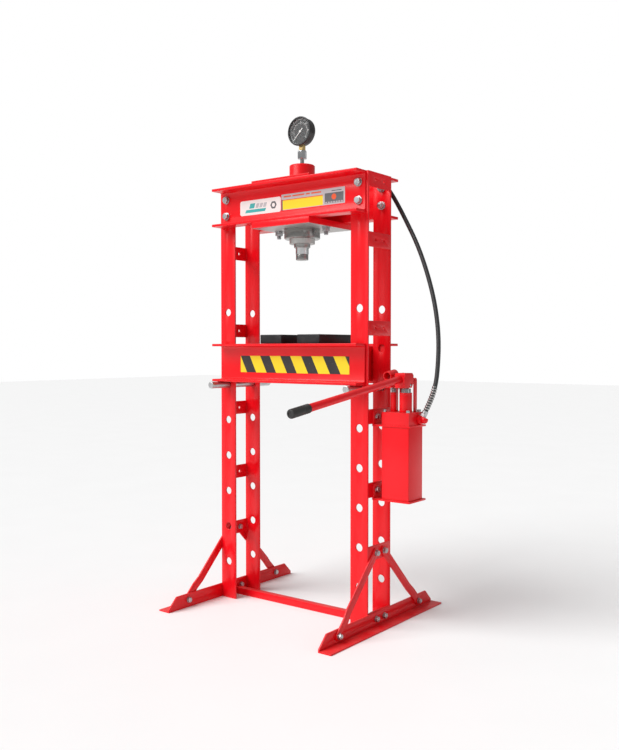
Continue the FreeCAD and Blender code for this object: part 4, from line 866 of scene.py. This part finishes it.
def washer_blank(name, wide, thick):
    fresh()
    bpy.ops.mesh.primitive_cylinder_add(vertices=40, radius=wide / 2, depth=thick, location=(0, 0, thick / 2))
    return softened(settled(added(name)), 0.5 * MM, 3)


def bolt_set(kind):
    """One of each piece of a bolt kind, and the sizes that place them."""
    diameter, flats, head, nut, washer, thick, end, pitch = (value * MM for value in BOLTS[kind])
    seen_thread = end + 0.4 * nut
    pieces = {
        "head": hexagon_blank("head", flats, head, False),
        "nut": hexagon_blank("nut", flats, nut, True),
        "washer": washer_blank("washer", washer, thick),
        "thread": thread("thread", diameter / 2, pitch, seen_thread),
    }
    return pieces, (head, nut, thick, end, seen_thread)


def bolt_ways(node):
    """For each bolt of a node: its head's end, the way its shank points, its length and its axis."""
    for points in islands(node):
        low, high = corners_of(points)
        span = high - low
        axis = max(range(3), key=lambda k: span[k])
        middle = (low + high) / 2
        ends = [[p for p in points if abs(p[axis] - stop[axis]) < 0.2 * MM] for stop in (low, high)]
        reach = [max((p - middle).length_squared - (p[axis] - middle[axis]) ** 2 for p in end)
                 for end in ends]
        start, sign = (low, 1) if reach[0] > reach[1] else (high, -1)
        point = middle.copy()
        point[axis] = start[axis]
        way = Vector((0, 0, 0))
        way[axis] = sign
        yield point, way, span[axis], axis


def make_bolts(f, name, bolts, nuts, kind_of_axis):
    """Heads, washers, nuts and thread ends for every bolt of a node, each turned a little differently."""
    sets, copies = {kind: bolt_set(kind) for kind in kind_of_axis.values()}, []
    for number, (point, way, length, axis) in enumerate(bolt_ways(bolts)):
        pieces, (head, nut, thick, end, seen_thread) = sets[kind_of_axis[axis]]
        spin = Matrix.Rotation(math.radians(37 * number % 60), 4, "Z")
        back = spin @ Matrix.Rotation(math.pi, 4, "X")
        stops = [("head", along(point + way * head, way) @ back), ("washer", along(point + way * head, way)),
                 ("washer", along(point + way * (length - end - nut - thick), way)),
                 ("nut", along(point + way * (length - end - nut), way) @ spin),
                 ("thread", along(point + way * (length - seen_thread), way))]
        copies += [copied(pieces[part], matrix) for part, matrix in stops]
    for pieces, _ in sets.values():
        removed(*pieces.values())
    whole = dressed(smooth(joined(name, copies)), f["zinc"])
    placed(whole, "frame", "zinc", bolts, nuts)


# ---- Welds ----
def bead(length, radius):
    """A rippled weld bead that stands on z = 0: one ripple, mirrored and repeated."""
    ripple = 1.7 * MM
    fresh()
    bpy.ops.mesh.primitive_cone_add(vertices=12, radius1=radius, radius2=0.78 * radius, depth=ripple / 2,
                                    end_fill_type="NOTHING", location=(0, 0, ripple / 4))
    seam = settled(added("bead"))
    modified(seam, "MIRROR", use_axis=(False, False, True), merge_threshold=0.01 * MM)
    modified(seam, "ARRAY", count=int(length / ripple), use_relative_offset=False,
             use_constant_offset=True, constant_offset_displace=(0, 0, ripple), use_merge_vertices=True,
             merge_threshold=0.01 * MM)
    with editing(seam):
        bpy.ops.mesh.fill_holes(sides=0)
    return smooth(seam, 80)


def welded(f, name, body, seam, places):
    """Copies of one bead at several places, as one piece."""
    welds = joined(name, [copied(seam, Matrix.Translation(place)) for place in places])
    removed(seam)
    placed(dressed(welds, f["red"]), body, "frame_red")


def make_welds(f):
    """Beads in the corners of the battens and of the bed's spacers."""
    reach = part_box("upright_rear_right")[0].y
    places = []
    for low, high in map(corners_of, islands("battens")):
        face = high.x if high.x < 0 else low.x
        places += [(face, side * reach, low.z + 3 * MM) for side in (-1, 1)]
    welded(f, "batten_welds", "frame", bead(46 * MM, 2.3 * MM), places)

    low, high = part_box("bed_spacers")
    places = [(x, y, low.z + 5 * MM) for ends in map(corners_of, islands("bed_spacers"))
              for x in (ends[0].x, ends[1].x) for y in (low.y, high.y)]
    welded(f, "spacer_welds", "bed", bead(high.z - low.z - 8 * MM, 2.6 * MM), places)


# ---- Stickers ----
def flat_shape(corners, face, thick, finish, rounded=0.0):
    """A thin printed shape on a face that looks towards -Y: corners are (x, z), face is its y."""
    fresh()
    bpy.ops.mesh.primitive_circle_add(vertices=len(corners), fill_type="NGON")
    shape = added("shape")
    for vertex, (x, z) in zip(shape.data.vertices, corners):
        vertex.co = (x, face, z)
    with editing(shape):
        if rounded:
            bpy.ops.mesh.bevel(offset=rounded, segments=5, affect="VERTICES")
            bpy.ops.mesh.select_all(action="SELECT")
        moved(0, -thick, 0)
        bpy.ops.mesh.select_all(action="SELECT")
        bpy.ops.mesh.normals_make_consistent(inside=False)
    return dressed(settled(shape), finish)


def oblong(x0, z0, x1, z1):
    return [(x0, z0), (x1, z0), (x1, z1), (x0, z1)]


def round_outline(x, z, radius, count):
    turns = (2 * math.pi * k / count for k in range(count))
    return [(x + radius * math.cos(turn), z + radius * math.sin(turn)) for turn in turns]


def clip(corners, low, high):
    """Cuts an outline off at two upright lines."""
    for limit, keep in ((low, 1), (high, -1)):
        kept = []
        for index, (x, z) in enumerate(corners):
            nx, nz = corners[(index + 1) % len(corners)]
            if (x - limit) * keep >= 0:
                kept.append((x, z))
            if (x - limit) * (nx - limit) < 0:
                share = (limit - x) / (nx - x)
                kept.append((limit, z + (nz - z) * share))
        corners = kept
    return corners


def make_hazard_strip(f):
    """Slanted yellow stripes on a black strip, on the bed's front web."""
    low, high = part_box("bed_channel_front")
    face = high.y - WEB
    x0, x1, z0, z1 = -228 * MM, 264 * MM, low.z + 35 * MM, low.z + 96 * MM
    first, pitch, band, lean = x0 + 76 * MM, 95 * MM, 50 * MM, 31 * MM
    pieces = [flat_shape(oblong(x0, z0, x1, z1), face, 2 * INK, f["ink_black"])]
    for number in range(-1, 6):
        foot = first + number * pitch
        stripe = clip([(foot, z0), (foot + band, z0), (foot + band - lean, z1), (foot - lean, z1)], x0, x1)
        if len(stripe) > 2:
            pieces.append(flat_shape(stripe, face - 2 * INK, INK, f["ink_yellow"]))
    placed(joined("hazard_strip", pieces), "bed", "frame_red")


def make_maker_panel(f):
    """A white panel with slanted blocks and a nut, on the left of the head's front web."""
    low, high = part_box("head_beam_front")
    face, front, base = high.y - WEB, high.y - WEB - 2 * INK, low.z
    x0, x1, z0, z1 = -230 * MM, -36 * MM, base + 37 * MM, base + 91 * MM
    lean = 6 * MM
    pieces = [flat_shape(oblong(x0, z0, x1, z1), face, 2 * INK, f["ink_white"], 8 * MM)]
    # Each block's left, right, foot and top from the panel's lower left corner, in millimetres.
    blocks = [(24, 120, 9, 20, "ink_teal"), (44, 68, 24, 42, "ink_teal"), (74, 88, 24, 40, "ink_silver"),
              (92, 106, 24, 40, "ink_silver"), (110, 124, 24, 40, "ink_silver")]
    for start, stop, foot, top, ink in blocks:
        left, right, foot, top = x0 + start * MM, x0 + stop * MM, z0 + foot * MM, z0 + top * MM
        block = [(left, foot), (right, foot), (right + lean, top), (left + lean, top)]
        pieces.append(flat_shape(block, front, INK, f[ink], 1.5 * MM))
    nut_x, nut_z = x1 - 34 * MM, (z0 + z1) / 2
    pieces.append(flat_shape(round_outline(nut_x, nut_z, 15 * MM, 6), front, INK, f["ink_grey"], 2 * MM))
    pieces.append(flat_shape(round_outline(nut_x, nut_z, 7 * MM, 24), front - INK, INK, f["ink_white"]))
    placed(joined("maker_panel", pieces), "frame", "frame_red")


def make_notice_panel(f):
    """A silver panel with coloured fields and bars, on the right of the head's front web."""
    low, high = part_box("head_beam_front")
    face, front, base = high.y - WEB, high.y - WEB - 2 * INK, low.z
    x0, x1, z0, z1 = -33 * MM, 244 * MM, base + 40 * MM, base + 96 * MM
    pieces = [flat_shape(oblong(x0, z0, x1, z1), face, 2 * INK, f["ink_silver"], 1.5 * MM)]
    # Each field's left, foot, right and top from the panel's lower left corner, in millimetres.
    fields = [(0, 0, 6, 38, "ink_grey"), (6, 2, 184, 34, "ink_yellow"), (6, 34, 184, 37, "ink_orange"),
              (192, 5, 271, 40, "ink_grey"), (221, 45, 263, 48, "ink_grey")]
    fields += [(start, 45, stop, 50, "ink_orange")
               for start, stop in ((10, 44), (50, 104), (110, 128), (134, 176))]
    ticks = [(195 + 11 * number, 6, 202 + 11 * number, 10, "ink_silver") for number in range(7)]
    for level, shapes in ((front, fields), (front - INK, ticks)):
        for left, foot, right, top, ink in shapes:
            shape = oblong(x0 + left * MM, z0 + foot * MM, x0 + right * MM, z0 + top * MM)
            pieces.append(flat_shape(shape, level, INK, f[ink]))
    dot = round_outline(x0 + 231 * MM, z0 + 26 * MM, 10 * MM, 30)
    pieces.append(flat_shape(dot, front - INK, INK, f["ink_orange"]))
    placed(joined("notice_panel", pieces), "frame", "frame_red")


# ---- Gauge ----
def make_dial(f):
    """The dial: a printed disc with two scales and plain figures, over three quarters of a turn."""
    low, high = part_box("gauge_dial")
    face, level = low.y, (low.z + high.z) / 2
    raised, figures_at = 0.12 * MM, 34.4 * MM
    pieces = [dressed(merged_copy("gauge_dial"), f["dial"])]

    def mark(angle, inner, outer, wide):
        """An upright oblong over the dial's middle, turned to its angle."""
        turn = Matrix.Rotation(math.radians(angle), 4, "Y")
        corners = [turn @ Vector((x, 0, z)) for x, z in oblong(-wide / 2, inner, wide / 2, outer)]
        pieces.append(flat_shape([(p.x, level + p.z) for p in corners], face, raised, f["ink_white"]))

    def scale(steps, outer, kinds):
        """Marks all along the sweep. Each kind says every how many steps, and its inner end and width."""
        for step in range(steps + 1):
            inner, wide = next(kind[1:] for kind in kinds if step % kind[0] == 0)
            mark(DIAL_START + DIAL_SWEEP * step / steps, inner * MM, outer * MM, wide * MM)

    scale(60, 43.4, [(10, 37.5, 0.9), (5, 39.5, 0.5), (1, 40.6, 0.5)])
    scale(40, 30.6, [(5, 27.0, 0.8), (1, 28.6, 0.45)])

    # the line round each scale, of short pieces that overlap a little
    count = 54
    each = DIAL_SWEEP / count
    for radius, wide in ((43.9 * MM, 0.7 * MM), (31.0 * MM, 0.5 * MM)):
        for step in range(count):
            mark(DIAL_START + each * (step + 0.5), radius - wide / 2, radius + wide / 2,
                 1.04 * radius * math.radians(each))

    for step in range(7):
        angle = math.radians(DIAL_START + DIAL_SWEEP * step / 6)
        fresh()
        bpy.ops.object.text_add(rotation=(math.pi / 2, 0, 0))
        figure = bpy.context.active_object
        figure.data.body = str(step * 5)
        figure.data.size = 6.0 * MM
        figure.data.extrude = raised / 2
        figure.data.align_x, figure.data.align_y = "CENTER", "CENTER"
        bpy.ops.object.convert(target="MESH")
        figure = settled(bpy.context.active_object)
        figure.data.transform(Matrix.Translation((figures_at * math.sin(angle), face - raised / 2,
                                                  level + figures_at * math.cos(angle))))
        pieces.append(dressed(figure, f["ink_white"]))
    placed(joined("dial_face", pieces), "frame", "dial_black", "gauge_dial")


def make_dial_ring(f):
    """The bright ring between the lens and the dial."""
    low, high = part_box("gauge_dial")
    deep = low.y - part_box("gauge_lens")[1].y
    play = 0.2 * MM
    outer = (high.x - low.x) / 2 - play
    outline = [(outer, -deep), (outer - 0.8 * MM, -deep), (outer - 2.0 * MM, -play), (outer, -play),
               (outer, -deep)]
    middle = Matrix.Translation((0, low.y, (low.z + high.z) / 2))
    ring = lathed("dial_ring", outline, middle @ Matrix.Rotation(-math.pi / 2, 4, "X"))
    placed(dressed(ring, f["chrome"]), "frame", "chrome")


# ---- Return spring and grip ----
def make_spring(f):
    """The return spring inside the cylinder: a coiled wire."""
    low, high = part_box("return_spring")
    wire, turns = 2 * MM, 7
    radius = (high.x - low.x) / 2 - wire
    fresh()
    bpy.ops.mesh.primitive_circle_add(vertices=12, radius=wire, rotation=(math.pi / 2, 0, 0),
                                      location=(radius, 0, low.z + wire))
    spring = settled(added("spring_coil"))
    modified(spring, "SCREW", screw_offset=(high.z - low.z - 2 * wire) / turns, iterations=turns, steps=40,
             render_steps=40)
    with editing(spring):
        bpy.ops.mesh.fill_holes(sides=0)
        bpy.ops.mesh.select_all(action="SELECT")
        bpy.ops.mesh.normals_make_consistent(inside=False)
    dressed(smooth(spring, 60), f["spring"])
    placed(spring, "frame", "steel", "return_spring")
    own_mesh(spring)


def make_grip(f):
    """A rubber grip with shallow finger rings and a hollow in its rounded end."""
    low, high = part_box("handle_grip")
    way = Vector(joint_of("handle_fit")["axis"])
    if way.y > 0:
        way = -way
    # Radii and distances along the grip, in millimetres.
    long, wide, tube, hollow, lip = 84, 14, 12.1, 7.4, 0.7
    outline = [(tube, 0), (wide - 0.8, 0), (wide, 0.8)]
    for ring in range(5):
        start = 7 + 4.5 * ring
        outline += [(wide, start), (wide - lip, start + 0.5), (wide - lip, start + 1.5), (wide, start + 2)]
    outline += [(wide, long - 4), (wide - lip, long - 1.6), (wide - 2.4, long - 0.3), (wide - 4, long),
                (8, long), (hollow, long - 0.6), (hollow, long - 1.8), (0, long - 1.8), (0, long - 3),
                (tube, long - 3), (tube, 0)]
    start = (low + high) / 2 - way * long * MM / 2
    grip = lathed("rubber_grip", [(radius * MM, level * MM) for radius, level in outline], along(start, way))
    placed(dressed(grip, f["grip"]), "handle", "rubber", "handle_grip")


# ---- Everything else that keeps its CAD shape ----
def make_metalwork(f):
    """Each other CAD node, with rounded edges where they show, and its finish."""
    for width, finish, segments, nodes in EASED:
        for node in nodes:
            eased(node, width, f[finish], segments)
    for finish, nodes in FINISHED.items():
        for node in nodes:
            dressed(NODES[node], f[finish])


# ---- Studio ----
def light_source(kind, name, power, place, aim):
    """A light of a kind, at its place and turned to its aim."""
    light = bpy.data.lights.new(name, kind)
    light.energy = power
    source = linked(name, light)
    source.location = place
    source.rotation_euler = (Vector(aim) - Vector(place)).to_track_quat("-Z", "Y").to_euler()
    return light


def make_studio():
    """A pale floor, an even room, a wide soft sun from the front left and a soft lamp on the right."""
    fresh()
    bpy.ops.mesh.primitive_plane_add(size=40, location=(0, 0, CAD_BOX[0].z))
    floor = dressed(settled(added("studio_floor")), studio_floor("Pale floor"))
    world = bpy.data.worlds.new("Studio")
    world.use_nodes = True
    t = Tree(world.node_tree)
    background = world.node_tree.nodes["Background"]
    background.inputs["Color"].default_value = (1.0, 1.0, 1.0, 1.0)
    seen = t.node("ShaderNodeLightPath").outputs["Is Camera Ray"]
    t.put(t.remap(seen, 0, 1, ROOM_LIGHT, ROOM_SEEN), background.inputs["Strength"])
    bpy.context.scene.world = world
    sun = light_source("SUN", "Soft sun", power=3.5, place=(-0.70, -1.25, 1.35), aim=(0, 0, 0))
    sun.angle = math.radians(50)
    lamp = light_source("AREA", "Side", power=6, place=(4.2, 0.4, 1.6), aim=(0.2, 0, 0.8))
    lamp.shape = "RECTANGLE"
    lamp.size, lamp.size_y = 1.2, 2.6
    bpy.context.scene.view_settings.view_transform = "Standard"


make_camera()
finishes = make_finishes()
make_hose(finishes)
make_metalwork(finishes)
make_grip(finishes)
make_bolts(finishes, "head_bolt_stacks", "head_bolts", "head_nuts", {1: "big", 2: "tie"})
make_bolts(finishes, "frame_bolt_stacks", "frame_bolts", "frame_nuts", {0: "small"})
make_welds(finishes)
make_hazard_strip(finishes)
make_maker_panel(finishes)
make_notice_panel(finishes)
make_dial(finishes)
make_dial_ring(finishes)
make_spring(finishes)
make_studio()
